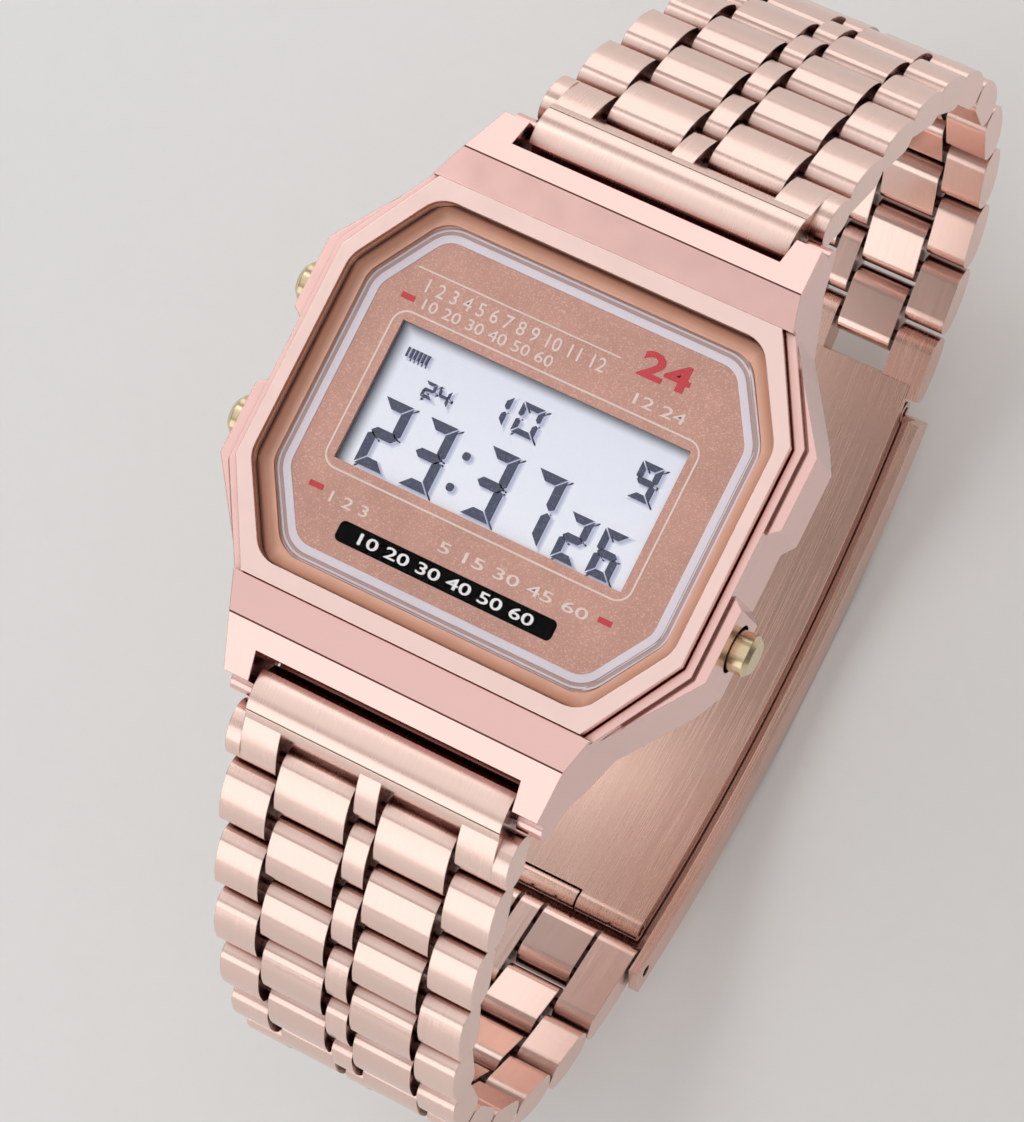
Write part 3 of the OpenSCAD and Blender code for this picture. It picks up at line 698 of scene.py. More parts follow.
# Rose-gold plating over steel brushed along the strap: hairlines, and a highlight spread across them. Real
# lines are about 0.03 mm apart; they are drawn nearly three times as coarse so that they show.
BRUSHED_ROSE = WorkedMetal(
    "Steel_rose_plated_brushed", "#F4D5CA", rough=(0.2, 0.27), grain=Grain.ALONG_STRAP, pitch_mm=0.08,
    length_mm=7.0, depth_mm=0.0004, tone=0.08, edge_wear_highlight_share=0.4, seam_shade="#5A281B", seam_shade_mm=2.0, seam_shade_to=0.85,
    satin_from_mm=0.9, satin_to_mm=5.97)
# The end links' bar has the same brushing all over.
BRUSHED_BAR = WorkedMetal(
    "Steel_rose_plated_end_link", "#F4D5CA", rough=(0.22, 0.28), grain=Grain.ALONG_STRAP, pitch_mm=0.08,
    length_mm=6.0, depth_mm=0.0003, tone=0.05, edge_wear_highlight_share=0.4, seam_shade="#6A3020", seam_shade_mm=2.0, seam_shade_to=0.8)
# The clasp is brushed along the strap on its cover and blades, a little coarser than the links.
BRUSHED_CLASP = WorkedMetal(
    "Steel_rose_plated_clasp", "#EDC9BA", rough=(0.2, 0.3), grain=Grain.ALONG_STRAP, pitch_mm=0.1,
    length_mm=9.0, depth_mm=0.0008, tone=0.08, edge_wear_highlight_share=0.4)
# Pale gold plating over turned steel: champagne, with fine turned rings on the buttons' faces.
BUTTON_GOLD = WorkedMetal(
    "Steel_champagne_plated_turned", "#DFCBA6", edge_wear_highlight_colour="#FFF6DF", rough=(0.16, 0.26), grain=Grain.TURNED,
    pitch_mm=0.12, depth_mm=0.002, tone=0.12, edge_mm=0.12, centre_mm=(0.0, 4.5, 3.9),
    turned_about=(0.0, 1.0, 1.0))
# Stainless steel turned on its flat face: grey, with rings round the middle of the back.
TURNED_STEEL = WorkedMetal(
    "Steel_stainless_turned", "#C9C7C4", edge_wear_highlight_colour="#F2F2F2", rough=(0.24, 0.38), grain=Grain.TURNED,
    pitch_mm=0.22, depth_mm=0.004, tone=0.15)
# Nickel plating over pressed steel: cool, smooth and a little cloudy.
NICKEL = WorkedMetal(
    "Steel_nickel_plated_pressed", "#CBCBC8", edge_wear_highlight_colour="#F4F4F4", rough=(0.16, 0.28), pitch_mm=2.0,
    depth_mm=0.002, tone=0.08, edge_mm=0.05)
# Spring steel and pins as drawn: dull grey, with lines along the wire.
DRAWN_STEEL = WorkedMetal(
    "Steel_spring_drawn", "#B9B6B2", edge_wear_highlight_colour="#E8E8E8", rough=(0.26, 0.4), grain=Grain.ACROSS, pitch_mm=0.1,
    length_mm=3.0, depth_mm=0.002, tone=0.15, edge_mm=0.04)
# Brass sheet as rolled: warm yellow with a light tarnish and lines along the roll.
BRASS = WorkedMetal(
    "Brass_rolled", "#D9B267", edge_wear_highlight_colour="#F6DFA6", rough=(0.22, 0.36), grain=Grain.ACROSS, pitch_mm=0.15,
    length_mm=4.0, depth_mm=0.002, tone=0.14, edge_mm=0.04)
# Acrylic, cast and polished: water-clear, with faint smears in its gloss.
CRYSTAL = ClearCrystal("Acrylic_clear_polished", "#FFFFFF")
# Nylon, moulded: the crystal's gasket, a dull warm ring round its edge. Its copper-brown colour is a painted
# reflection of the rose case wall, seen through the crystal's bevel.
GASKET = Moulded(
    "Nylon_moulded_copper_reflection_painted", "#D29A80", rough=(0.35, 0.5), grain_mm=0.4, depth_mm=0.003, tone=0.2)
# Painted shade along a crease where two slopes meet: a fine dull brown line.
CREASE_SHADE = Moulded("Crease_shade_painted", "#6A443B", rough=(0.5, 0.65), grain_mm=0.1, tone=0.2, shine=0.3)
# Painted reflection of the rose case wall in the crystal's bevel, laid under the crystal's rim: a warm copper
# band, with painted shade that darkens it towards the ring.
BEVEL_REFLECTION = PaintedBevelReflection("Copper_bevel_reflection_painted", "#DEAC96")
# Peach lacquer with metal flakes, sprayed over brass sheet: a satin dial with a fine sparkle of painted glints.
DIAL_LACQUER = FlakeLacquer("Lacquer_peach_flake_sprayed", "#C09183")
# Pad-printed inks: thin, matt and slightly uneven. Their real grain is a few hundredths of a millimetre, and
# it is drawn at 0.12 mm so that it shows.
INK_MAUVE = Moulded("Ink_mauve_pad_printed", "#B79C98", rough=(0.45, 0.6), grain_mm=0.12, tone=0.1)
INK_LILAC = Moulded("Ink_lilac_white_pad_printed", "#E2DAE4", rough=(0.45, 0.6), grain_mm=0.12, tone=0.08)
INK_PALE = Moulded("Ink_pale_peach_pad_printed", "#E8D3CC", rough=(0.45, 0.6), grain_mm=0.12, tone=0.1)
INK_RED = Moulded("Ink_red_pad_printed", "#C8303C", rough=(0.4, 0.55), grain_mm=0.12, tone=0.12)
INK_BLACK = Moulded("Ink_black_pad_printed", "#060506", rough=(0.4, 0.55), grain_mm=0.12, tone=0.2, shine=0.0)
INK_WHITE = Moulded("Ink_white_pad_printed", "#F4F3F4", rough=(0.45, 0.6), grain_mm=0.12, tone=0.06)
# Pearl reflector behind glass: a cool ground that looks lit from inside, with painted shade along two sides and
# towards its upper side.
REFLECTOR = DisplayReflector("Glass_display_pearl_reflector", "#EEF2FD")
# Liquid crystal: dark blue-grey bars, and the pale shadow that they throw on the reflector with its soft edge.
SEGMENT = Moulded(
    "Liquid_crystal_segment_dark", "#39405A", rough=(0.2, 0.3), grain_mm=0.2, tone=0.12, coat=0.3)
SEGMENT_SHADOW = Moulded(
    "Liquid_crystal_segment_shadow", "#B7BEDA", rough=(0.35, 0.45), grain_mm=0.2, tone=0.05)
SEGMENT_HALO = Moulded(
    "Liquid_crystal_segment_soft_edge", "#D3D9EC", rough=(0.35, 0.45), grain_mm=0.2, tone=0.04)
# Acrylic with a milky filler, moulded: it lets light through with a soft haze.
GUIDE = Moulded("Acrylic_milky_moulded", "#E9EEF0", rough=(0.25, 0.35), grain_mm=0.5, tone=0.05, clear=0.4)
# Epoxy, cast round a lamp: glossy amber that light passes through.
LAMP = Moulded("Epoxy_amber_lamp", "#E9C46A", rough=(0.1, 0.2), grain_mm=0.5, tone=0.08, clear=0.5)
# Glass-filled nylon, moulded: satin grey with a fine grain.
NYLON = Moulded("Nylon_grey_moulded", "#7C7F80", rough=(0.45, 0.6), grain_mm=0.2, depth_mm=0.004, tone=0.12)
# Silicone with carbon layers, sliced: dull pink with uneven tone.
SILICONE = Moulded("Silicone_striped_pink", "#D9B7B0", rough=(0.5, 0.65), grain_mm=0.1, tone=0.35)
# Black rubber, moulded: dull, with a fine grain.
RUBBER = Moulded("Rubber_black_moulded", "#232325", rough=(0.5, 0.7), grain_mm=0.12, depth_mm=0.004, tone=0.25)
# Glass-epoxy laminate, printed: deep green mask over a woven ground, with gold-coloured tracks.
BOARD = PrintedBoard("Laminate_epoxy_printed", "#1C6B3A")
# Painted board under the watch: pale, matt and even.
FLOOR = Moulded(
    "Board_pale_painted", "#ECEAE8", rough=(0.7, 0.85), grain_mm=1.2, depth_mm=0.004, tone=0.015)


def coat(piece: bpy.types.Object, finish: Finish) -> None:
    """Give all of a piece's slots one finish and report it.

    Args:
        piece: A node of the frame or a piece made here.
        finish: Its finish.
    """
    if not piece.data.materials:
        piece.data.materials.append(finish.material())
    for slot in piece.material_slots:
        slot.material = finish.material()
    log.info("%s: %s", piece.name, finish.name)


def add_piece(name: str, verts: Sequence[Place], faces: Sequence[Sequence[int]], finish: Finish,
              body: str = "case") -> None:
    """Make a mesh piece from points in millimetres and let it ride on a body.

    Args:
        name: The piece's name.
        verts: Points in millimetres, in the frame's axes.
        faces: Faces by the numbers of their points.
        finish: The piece's finish.
        body: The body that carries the piece.
    """
    mesh = bpy.data.meshes.new(name)
    mesh.from_pydata([tuple(mm(c) for c in v) for v in verts], [], faces)
    mesh.validate()
    piece = bpy.data.objects.new(name, mesh)
    bpy.context.scene.collection.objects.link(piece)
    coat(piece, finish)
    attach(piece, body)


def plates(name: str, outlines: Sequence[Outline], heights: Span, finish: Finish) -> None:
    """Make thin closed plates in one piece, one for each outline.

    Args:
        name: The piece's name.
        outlines: Outlines in millimetres, counter-clockwise.
        heights: Z of the plates' underside and of their top.
        finish: The piece's finish.
    """
    verts: list[Place] = []
    faces: list[Sequence[int]] = []
    for outline in outlines:
        first, count = len(verts), len(outline)
        verts += [(x, y, z) for z in heights for x, y in outline]
        faces.append([first + i for i in reversed(range(count))])
        faces.append([first + count + i for i in range(count)])
        for i in range(count):
            j = (i + 1) % count
            faces.append([first + i, first + j, first + count + j, first + count + i])
    add_piece(name, verts, faces, finish)


def band(name: str, outer: Outline, inner: Outline, heights: Span, finish: Finish) -> None:
    """Make a thin closed band between two outlines with as many points each.

    Args:
        name: The piece's name.
        outer: Outer outline in millimetres, counter-clockwise.
        inner: Inner outline with as many points.
        heights: Z of the band's underside and of its top.
        finish: The piece's finish.
    """
    count = len(outer)
    verts = [(x, y, z) for z in heights for ring in (outer, inner) for x, y in ring]
    low_out, low_in, top_out, top_in = (k * count for k in range(4))
    faces: list[Sequence[int]] = []
    for i in range(count):
        j = (i + 1) % count
        faces.append([top_out + i, top_out + j, top_in + j, top_in + i])
        faces.append([low_out + j, low_out + i, low_in + i, low_in + j])
        faces.append([low_out + i, low_out + j, top_out + j, top_out + i])
        faces.append([low_in + j, low_in + i, top_in + i, top_in + j])
    add_piece(name, verts, faces, finish)


def rectangle(x0: float, y0: float, x1: float, y1: float) -> Outline:
    """Return a rectangle's outline, counter-clockwise."""
    return [(x0, y0), (x1, y0), (x1, y1), (x0, y1)]


def octagon(half_x: float, half_y: float, flat_x: float, flat_y: float) -> Outline:
    """Draw a long octagon.

    Args:
        half_x: Half of its width.
        half_y: Half of its height.
        flat_x: Half the length of its straight top.
        flat_y: Half the length of its straight side.

    Returns:
        Its outline, counter-clockwise.
    """
    right = [(half_x, flat_y), (flat_x, half_y)]
    upper = right + [(-x, y) for x, y in reversed(right)]
    return upper + [(-x, -y) for x, y in upper]


def corners(shape: Outline) -> list[tuple[Vector, Vector, Vector]]:
    """Look at each corner of an outline.

    Args:
        shape: The outline.

    Returns:
        For each corner its point, the direction that leads to it and the one that leads on.
    """
    points = [Vector(point) for point in shape]
    around = zip(points[-1:] + points[:-1], points, points[1:] + points[:1])
    return [(here, (here - before).normalized(), (after - here).normalized()) for before, here, after in around]


def inset(shape: Outline, by: float) -> Outline:
    """Move each side of a convex outline inward by the same distance.

    Args:
        shape: The outline, counter-clockwise.
        by: The distance, which is negative to move outward.

    Returns:
        The moved outline.
    """
    moved = []
    for here, d0, d1 in corners(shape):
        n0, n1 = Vector((-d0.y, d0.x)), Vector((-d1.y, d1.x))
        moved.append(tuple(here + (n0 + n1) * (by / (1 + n0.dot(n1)))))
    return moved


def rounded(shape: Outline, radius: float, steps: int = 8) -> Outline:
    """Round each corner of a convex outline.

    Args:
        shape: The outline, counter-clockwise.
        radius: Corner radius in the outline's unit.
        steps: Parts of the arc at each corner.

    Returns:
        The outline with an arc at each corner.
    """
    out: Outline = []
    for here, d0, d1 in corners(shape):
        turn = d0.angle(d1)
        centre = here - d0 * (radius * math.tan(turn / 2)) + Vector((-d0.y, d0.x)) * radius
        start = math.atan2(-d0.x, d0.y)
        for k in range(steps + 1):
            angle = start + turn * k / steps
            out.append((centre.x + radius * math.cos(angle), centre.y + radius * math.sin(angle)))
    return out


def numerals(name: str, text: str, box: Box, heights: Span, finish: Finish, weight: float) -> None:
    """Make plain figures that fill a rectangle.

    Args:
        name: The piece's name.
        text: The figures and the spaces between them.
        box: The rectangle's left, lower, right and upper sides in millimetres.
        heights: Z of the figures' underside and of their top.
        finish: The piece's finish.
        weight: How far the strokes are thickened, in the font's unit.
    """
    curve = bpy.data.curves.new(name + "_type", "FONT")
    curve.body = text
    curve.extrude = TYPE_DEPTH
    curve.offset = weight
    curve.resolution_u = TYPE_STEPS
    typed = bpy.data.objects.new(name + "_type", curve)
    bpy.context.scene.collection.objects.link(typed)
    bpy.context.view_layer.update()
    mesh = bpy.data.meshes.new_from_object(typed.evaluated_get(bpy.context.evaluated_depsgraph_get()))
    bpy.data.objects.remove(typed)
    # Each axis of the typed figures is stretched to the box and to the heights.
    goals = ((box[0], box[2]), (box[1], box[3]), heights)
    axes = []
    for i, (goal_low, goal_high) in enumerate(goals):
        values = [v.co[i] for v in mesh.vertices]
        low, high = min(values), max(values)
        axes.append([goal_low + (v - low) / (high - low) * (goal_high - goal_low) for v in values])
    faces = [tuple(p.vertices) for p in mesh.polygons]
    bpy.data.meshes.remove(mesh)
    add_piece(name, list(zip(*axes)), faces, finish)


@dataclass
class SubAssembly:
    """Parts of the watch that are built and dressed together.

    Attributes:
        finishes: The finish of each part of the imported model, by the part's name.
    """

    finishes: dict[str, Finish] = field(default_factory=dict)

    def build(self) -> None:
        """Add no piece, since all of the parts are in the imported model."""

    def dress(self) -> None:
        """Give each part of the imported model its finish."""
        for name, finish in self.finishes.items():
            coat(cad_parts[name], finish)


@dataclass
class Head(SubAssembly):
    """The watch head's body, ring, crystal and gasket.

    Attributes:
        rim_r_mm: Radius of the rim's corners.
        border_in_mm: How far inside the rim the painted reflection band's two sides lie.
        border_z_mm: Z of its underside and top.
        crease_mm: Y and Z of the crease at the 12 o'clock end.
        crease_half_mm: Half of its length.
        crease_w_mm: Width of the painted shade line in it.
        crease_slopes: Rise of the slope before the crease and fall of the one after it.
        crease_proud_mm: How far the line stands out of the slopes.
        crease_deep_mm: How far it reaches into them.
        lip_half_mm: Half the length of a cutout's shade lip.
        lip_y_mm: Y of its inner and outer side at the 12 o'clock end.
        lip_z_mm: Z of its underside and top.
    """

    finishes: dict[str, Finish] = field(default_factory=lambda: {
        "case_middle": POLISHED_ROSE,
        "crystal_ring": RING_ROSE,
        "crystal": CRYSTAL,
        "crystal_gasket": GASKET,
        "lug_spring_bars": DRAWN_STEEL})
    rim_r_mm: float = 2.0
    border_in_mm: Span = (0.07, 1.0)
    border_z_mm: Span = (6.552, 6.575)
    crease_mm: Point = (15.4, 7.0)
    crease_half_mm: float = 11.27
    crease_w_mm: float = 0.11
    crease_slopes: Pair = (0.2364, 0.656)
    crease_proud_mm: float = 0.006
    crease_deep_mm: float = 0.04
    lip_half_mm: float = 8.8
    lip_y_mm: Span = (16.78, 17.03)
    lip_z_mm: Span = (1.42, 1.6)

    def build_shade_lips(self) -> None:
        """Turn a small lip out of the foot of each cutout's wall, under the end link's bar: a sheet put there
        for shade, which hides the floor through the gap so that the gap shows the metal's painted shade.
        """
        half, (y0, y1) = self.lip_half_mm, self.lip_y_mm
        lips = [rectangle(-half, y0, half, y1), rectangle(-half, -y1, half, -y0)]
        # A sheet put there for shade: it closes the gap under the bar, which then shows painted shade.
        plates("lug_shade_lips", lips, self.lip_z_mm, POLISHED_ROSE)

    def build_creases(self) -> None:
        """Draw a fine painted shade line along the crease between the two slopes at each end of the case."""
        y, z = self.crease_mm
        half, rise, fall = self.crease_w_mm / 2, *self.crease_slopes
        proud, deep = self.crease_proud_mm, self.crease_deep_mm
        top = [(y - half, z + half * rise + proud), (y, z + proud), (y + half, z - half * fall + proud)]
        section = top + [(y + half, z - half * fall - deep), (y - half, z + half * rise - deep)]
        count = len(section)
        for side, name in ((1, "crease_line_12"), (-1, "crease_line_6")):
            ends = (-self.crease_half_mm, self.crease_half_mm)
            verts = [(x, side * py, pz) for x in ends for py, pz in section]
            faces: list[Sequence[int]] = [range(count), [2 * count - 1 - i for i in range(count)]]
            faces += [[(i + 1) % count, i, count + i, count + (i + 1) % count] for i in range(count)]
            # Painted shade: a dark line where the two slopes meet.
            add_piece(name, verts, [face[::side] for face in faces], CREASE_SHADE)

    def build(self) -> None:
        """Add the shade lips and the painted shade lines along the creases, and lay the painted reflection band
        under the crystal's rim.
        """
        self.build_shade_lips()
        self.build_creases()
        # Painted reflection of the rose case wall in the crystal's bevel, with painted shade at the rim.
        outer, inner = (rounded(inset(octagon(*RIM_MM), by), self.rim_r_mm) for by in self.border_in_mm)
        band("crystal_bevel_reflection", outer, inner, self.border_z_mm, BEVEL_REFLECTION)


@dataclass(frozen=True)
class PrintedFigures:
    """Plain figures that fill a box on the dial.

    Attributes:
        name: The piece's name.
        text: The figures and the spaces between them.
        box_mm: The box's left, lower, right and upper sides.
        ink: Their ink.
        weight: How far their strokes are thickened, in the font's unit.
        layer: How many layers of ink lie under them.
    """

    name: str
    text: str
    box_mm: Box
    ink: Finish = INK_PALE
    weight: float = 0.012
    layer: int = 0


@dataclass
class Dial(SubAssembly):
    """The dial plate and what is printed on it, with plain figures where words could stand.

    Attributes:
        top_mm: Z of the plate's face.
        ink_mm: Thickness of one layer of ink.
        line_out_mm: Outer side of the wide line round the dial.
        line_w_mm: Its width.
        line_r_mm: Radius of its corners.
        fine_w_mm: Width of the two fine lines.
        fine_gaps_mm: How far outside the wide line they lie.
        ground_w_mm: Width of the mauve ground outside the wide line.
        least_r_mm: Least radius of a line's inner corner.
        frame_gap_mm: Distance from the window to the outer side of its frame.
        frame_w_mm: The frame's width.
        frame_r_mm: Radius of its corners.
        rule_mm: The thin rule above the hours.
        dashes_mm: The red dashes.
        pill_mm: The black pill.
        pill_r_mm: Radius of its corners.
        figures: The printed figures.
        slot: Not used.
    """

    finishes: dict[str, Finish] = field(default_factory=lambda: {"dial_plate": DIAL_LACQUER})
    top_mm: float = 6.2
    ink_mm: float = 0.02
    line_out_mm: LongOctagon = (12.75, 10.45, 9.95, 6.1)
    line_w_mm: float = 0.5
    line_r_mm: float = 2.0
    fine_w_mm: float = 0.12
    fine_gaps_mm: Pair = (0.34, 0.58)
    ground_w_mm: float = 0.66
    least_r_mm: float = 0.05
    frame_gap_mm: float = 0.66
    frame_w_mm: float = 0.13
    frame_r_mm: float = 1.0
    rule_mm: Box = (-10.6, 7.76, 3.1, 7.87)
    dashes_mm: tuple[Box, ...] = (
        (-10.8, 5.72, -9.9, 6.07), (-10.65, -6.67, -9.7, -6.32), (8.9, -6.67, 9.8, -6.32))
    pill_mm: Box = (-7.75, -8.95, 6.9, -7.65)
    pill_r_mm: float = 0.35
    figures: tuple[PrintedFigures, ...] = (
        PrintedFigures("dial_hours", "1 2 3 4 5 6 7 8 9 10 11 12", (-9.6, 6.52, 2.5, 7.42)),
        PrintedFigures("dial_tens", "10 20 30 40 50 60", (-9.3, 5.53, -0.5, 6.25)),
        PrintedFigures("dial_red_figures", "24", (4.3, 7.35, 7.6, 9.0), INK_RED, 0.03),
        PrintedFigures("dial_small_figures", "12 24", (4.9, 5.68, 8.3, 6.38)),
        PrintedFigures("dial_left_figures", "1 2 3", (-9.1, -7.07, -6.5, -6.38)),
        PrintedFigures("dial_right_figures", "5 15 30 45 60", (-1.7, -6.97, 8.3, -6.28)),
        PrintedFigures("dial_pill_figures", "10 20 30 40 50 60", (-6.3, -8.65, 5.5, -7.92), INK_WHITE, 0.015, 1))
    slot: str = "dial_print"

    def heights(self, layer: int = 0) -> Span:
        """Return the underside and the top of ink with so many layers under it."""
        return (self.top_mm + layer * self.ink_mm, self.top_mm + layer * self.ink_mm + self.ink_mm)

    def line(self, name: str, outer: Outline, width: float, radius: float, ink: Finish, layer: int = 0) -> None:
        """Print a closed line that lies inside an outline.

        Args:
            name: The line's name.
            outer: Its outer outline in millimetres.
            width: Its width in millimetres.
            radius: Radius of its outer corners in millimetres.
            ink: Its ink.
            layer: How many layers of ink lie under it.
        """
        inner = rounded(inset(outer, width), max(radius - width, self.least_r_mm))
        band(name, rounded(outer, radius), inner, self.heights(layer), ink)

    def printed(self, name: str, outlines: Sequence[Outline], ink: Finish) -> None:
        """Print closed shapes on the plate in one ink."""
        plates(name, outlines, self.heights(), ink)

    def build(self) -> None:
        """Print the dial's lines, frame, dashes, pill and figures."""
        outer = octagon(*self.line_out_mm)
        ground = self.ground_w_mm
        self.line("dial_line_ground", inset(outer, -ground), ground, self.line_r_mm + ground, INK_MAUVE)
        self.line("dial_line_wide", outer, self.line_w_mm, self.line_r_mm, INK_LILAC, 1)
        for number, gap, ink in zip((1, 2), self.fine_gaps_mm, (INK_LILAC, INK_PALE)):
            around = inset(outer, -gap)
            self.line(f"dial_line_fine_{number}", around, self.fine_w_mm, self.line_r_mm + gap, ink, 1)

        x, y = WINDOW_MIDDLE_MM
        half_x, half_y = (half + self.frame_gap_mm for half in WINDOW_HALF_MM)
        around = rectangle(x - half_x, y - half_y, x + half_x, y + half_y)
        self.line("dial_window_frame", around, self.frame_w_mm, self.frame_r_mm, INK_PALE)

        self.printed("dial_rule", [rectangle(*self.rule_mm)], INK_PALE)
        self.printed("dial_dashes", [rectangle(*dash) for dash in self.dashes_mm], INK_RED)
        self.printed("dial_pill", [rounded(rectangle(*self.pill_mm), self.pill_r_mm)], INK_BLACK)
        for row in self.figures:
            numerals(row.name, row.text, row.box_mm, self.heights(row.layer), row.ink, row.weight)


class Segment(Enum):
    """The seven bars of a display figure, from the top and clockwise, with the middle last."""

    TOP = "a"
    UPPER_RIGHT = "b"
    LOWER_RIGHT = "c"
    BOTTOM = "d"
    LOWER_LEFT = "e"
    UPPER_LEFT = "f"
    MIDDLE = "g"


# The dark bars of each figure that the display shows.
FIGURE_SEGMENTS: dict[str, str] = {
    "0": "abcdef", "1": "bc", "2": "abged", "3": "abgcd", "4": "fgbc", "6": "afgedc", "7": "abc", "9": "abfgcd"}


@dataclass(frozen=True)
class DisplayFigure:
    """One figure of the display, drawn with bars that have pointed ends.

    Attributes:
        figure: The digit.
        left: Its left side in millimetres, as are the sizes after it.
        base: Its lower side.
        width: Its width.
        height: Its height.
        stroke: Width of its bars.
        gap: Distance that keeps two bars apart.
        notch: How far a side bar's outer edge stays from the middle, as a share of the stroke.
    """

    figure: str
    left: float
    base: float
    width: float
    height: float
    stroke: float
    gap: float = 0.06
    notch: float = 0.3

    def bar(self, part: Segment) -> Outline:
        """Draw one bar.

        Args:
            part: Which of the seven bars.

        Returns:
            The bar's outline, counter-clockwise.
        """
        x0, x1 = self.left, self.left + self.width
        y0, y1 = self.base, self.base + self.height
        mid, s, g = (y0 + y1) / 2, self.stroke, self.gap
        h, n, gg = s / 2, s * self.notch, g * 2
        shapes = {
            Segment.TOP: [(x0 + g, y1), (x0 + s + g, y1 - s), (x1 - s - g, y1 - s), (x1 - g, y1)],
            Segment.BOTTOM: [(x0 + g, y0), (x1 - g, y0), (x1 - s - g, y0 + s), (x0 + s + g, y0 + s)],
            Segment.MIDDLE: [
                (x0 + gg, mid), (x0 + h + gg, mid - h), (x1 - h - gg, mid - h),
                (x1 - gg, mid), (x1 - h - gg, mid + h), (x0 + h + gg, mid + h)],
            Segment.UPPER_RIGHT: [
                (x1, y1 - g), (x1 - s, y1 - s - g), (x1 - s, mid + h + g), (x1 - h, mid + g), (x1, mid + n + g)],
            Segment.LOWER_RIGHT: [
                (x1, y0 + g), (x1, mid - n - g), (x1 - h, mid - g), (x1 - s, mid - h - g), (x1 - s, y0 + s + g)],
            Segment.UPPER_LEFT: [
                (x0, y1 - g), (x0, mid + n + g), (x0 + h, mid + g), (x0 + s, mid + h + g), (x0 + s, y1 - s - g)],
            Segment.LOWER_LEFT: [
                (x0, y0 + g), (x0 + s, y0 + s + g), (x0 + s, mid - h - g), (x0 + h, mid - g), (x0, mid - n - g)]}
        return shapes[part]

    def outlines(self) -> list[Outline]:
        """Return the outlines of the bars that are dark for this figure."""
        return [self.bar(Segment(letter)) for letter in FIGURE_SEGMENTS[self.figure]]


@dataclass
class Display(SubAssembly):
    """The display glass, its dark segments and their shadows.

    Attributes:
        top_mm: Z of the glass.
        segment_mm: Height of the segments' top above it.
        shadow_mm: Height of the shadows' top.
        halo_mm: Height of the soft edges' top.
        shift_mm: How far a shadow lies from its segment along X and Y.
        halo_shift: The soft edges' shift as a share of that.
        halo_grow_mm: How far a soft edge reaches beyond its segment's outline.
        figures: The figures shown.
        dots_mm: Middles of the colon's dots.
        dot_half_mm: Half the width of a dot.
        dot_r_mm: Radius of its corners.
        dot_steps: Parts of the arc at each corner.
        bars_from_mm: Lower left corner of the row of small bars.
        bar_mm: Width and height of a small bar.
        bar_count: How many there are.
        bar_pitch_mm: Distance from one to the next.
        slot: Not used.
    """

    finishes: dict[str, Finish] = field(default_factory=lambda: {"lcd_panel": REFLECTOR})
    top_mm: float = 5.9
    segment_mm: float = 0.012
    shadow_mm: float = 0.006
    halo_mm: float = 0.003
    shift_mm: Pair = (0.2, -0.08)
    halo_shift: float = 1.15
    halo_grow_mm: float = 0.09
    figures: tuple[DisplayFigure, ...] = (
        DisplayFigure("2", -8.9, -4.3, 1.98, 4.35, 0.6),
        DisplayFigure("3", -5.85, -4.3, 1.98, 4.35, 0.6),
        DisplayFigure("3", -1.65, -4.3, 1.98, 4.35, 0.6),
        DisplayFigure("7", 1.55, -4.3, 1.98, 4.35, 0.6),
        DisplayFigure("2", 4.5, -4.4, 1.58, 2.95, 0.48),
        DisplayFigure("6", 6.8, -4.4, 1.58, 2.95, 0.48),
        DisplayFigure("9", 7.0, 0.7, 1.42, 2.3, 0.41),
        DisplayFigure("1", -3.2, 1.25, 1.5, 1.95, 0.35),
        DisplayFigure("0", -1.1, 1.25, 1.5, 1.95, 0.35),
        DisplayFigure("2", -7.05, 0.88, 0.78, 1.02, 0.19, 0.02),
        DisplayFigure("4", -6.05, 0.88, 0.78, 1.02, 0.19, 0.02))
    dots_mm: tuple[Point, ...] = ((-2.75, -1.2), (-2.82, -3.24))
    dot_half_mm: float = 0.25
    dot_r_mm: float = 0.2
    dot_steps: int = 5
    bars_from_mm: Point = (-9.0, 2.66)
    bar_mm: Pair = (0.17, 0.6)
    bar_count: int = 6
    bar_pitch_mm: float = 0.265
    slot: str = "lcd_glass"

    def dark_shapes(self) -> list[Outline]:
        """Draw all that is dark on the display: figures, dots and the row of small bars.

        Returns:
            Their outlines.
        """
        shapes = [shape for figure in self.figures for shape in figure.outlines()]
        half = self.dot_half_mm
        for x, y in self.dots_mm:
            dot = rectangle(x - half, y - half, x + half, y + half)
            shapes.append(rounded(dot, self.dot_r_mm, self.dot_steps))
        (left, y), (width, height) = self.bars_from_mm, self.bar_mm
        starts = [left + k * self.bar_pitch_mm for k in range(self.bar_count)]
        return shapes + [rectangle(x, y, x + width, y + height) for x in starts]

    def moved(self, shapes: list[Outline], share: float, grow: float) -> list[Outline]:
        """Return shapes moved by a share of the shadow's shift and grown on all sides."""
        dx, dy = (shift * share for shift in self.shift_mm)
        return [[(x + dx, y + dy) for x, y in (inset(shape, -grow) if grow else shape)] for shape in shapes]

    def build(self) -> None:
        """Lay the segments and their shadows on the display glass."""
        dark = self.dark_shapes()
        soft = self.moved(dark, self.halo_shift, self.halo_grow_mm)
        layers = (
            ("display_soft_edges", soft, self.halo_mm, SEGMENT_HALO),
            ("display_shadows", self.moved(dark, 1.0, 0.0), self.shadow_mm, SEGMENT_SHADOW),
            ("display_segments", dark, self.segment_mm, SEGMENT))
        for name, shapes, height, finish in layers:
            plates(name, shapes, (self.top_mm, self.top_mm + height), finish)


@dataclass
class Movement(SubAssembly):
    """The parts inside the case."""

    finishes: dict[str, Finish] = field(default_factory=lambda: {
        "light_guide": GUIDE,
        "backlight_lamp": LAMP,
        "module_frame": NYLON,
        "contact_strips": SILICONE,
        "circuit_board": BOARD,
        "quartz_can": NICKEL,
        "coin_cell": NICKEL,
        "cell_clip": BRASS,
        "sounder_disc": BRASS})


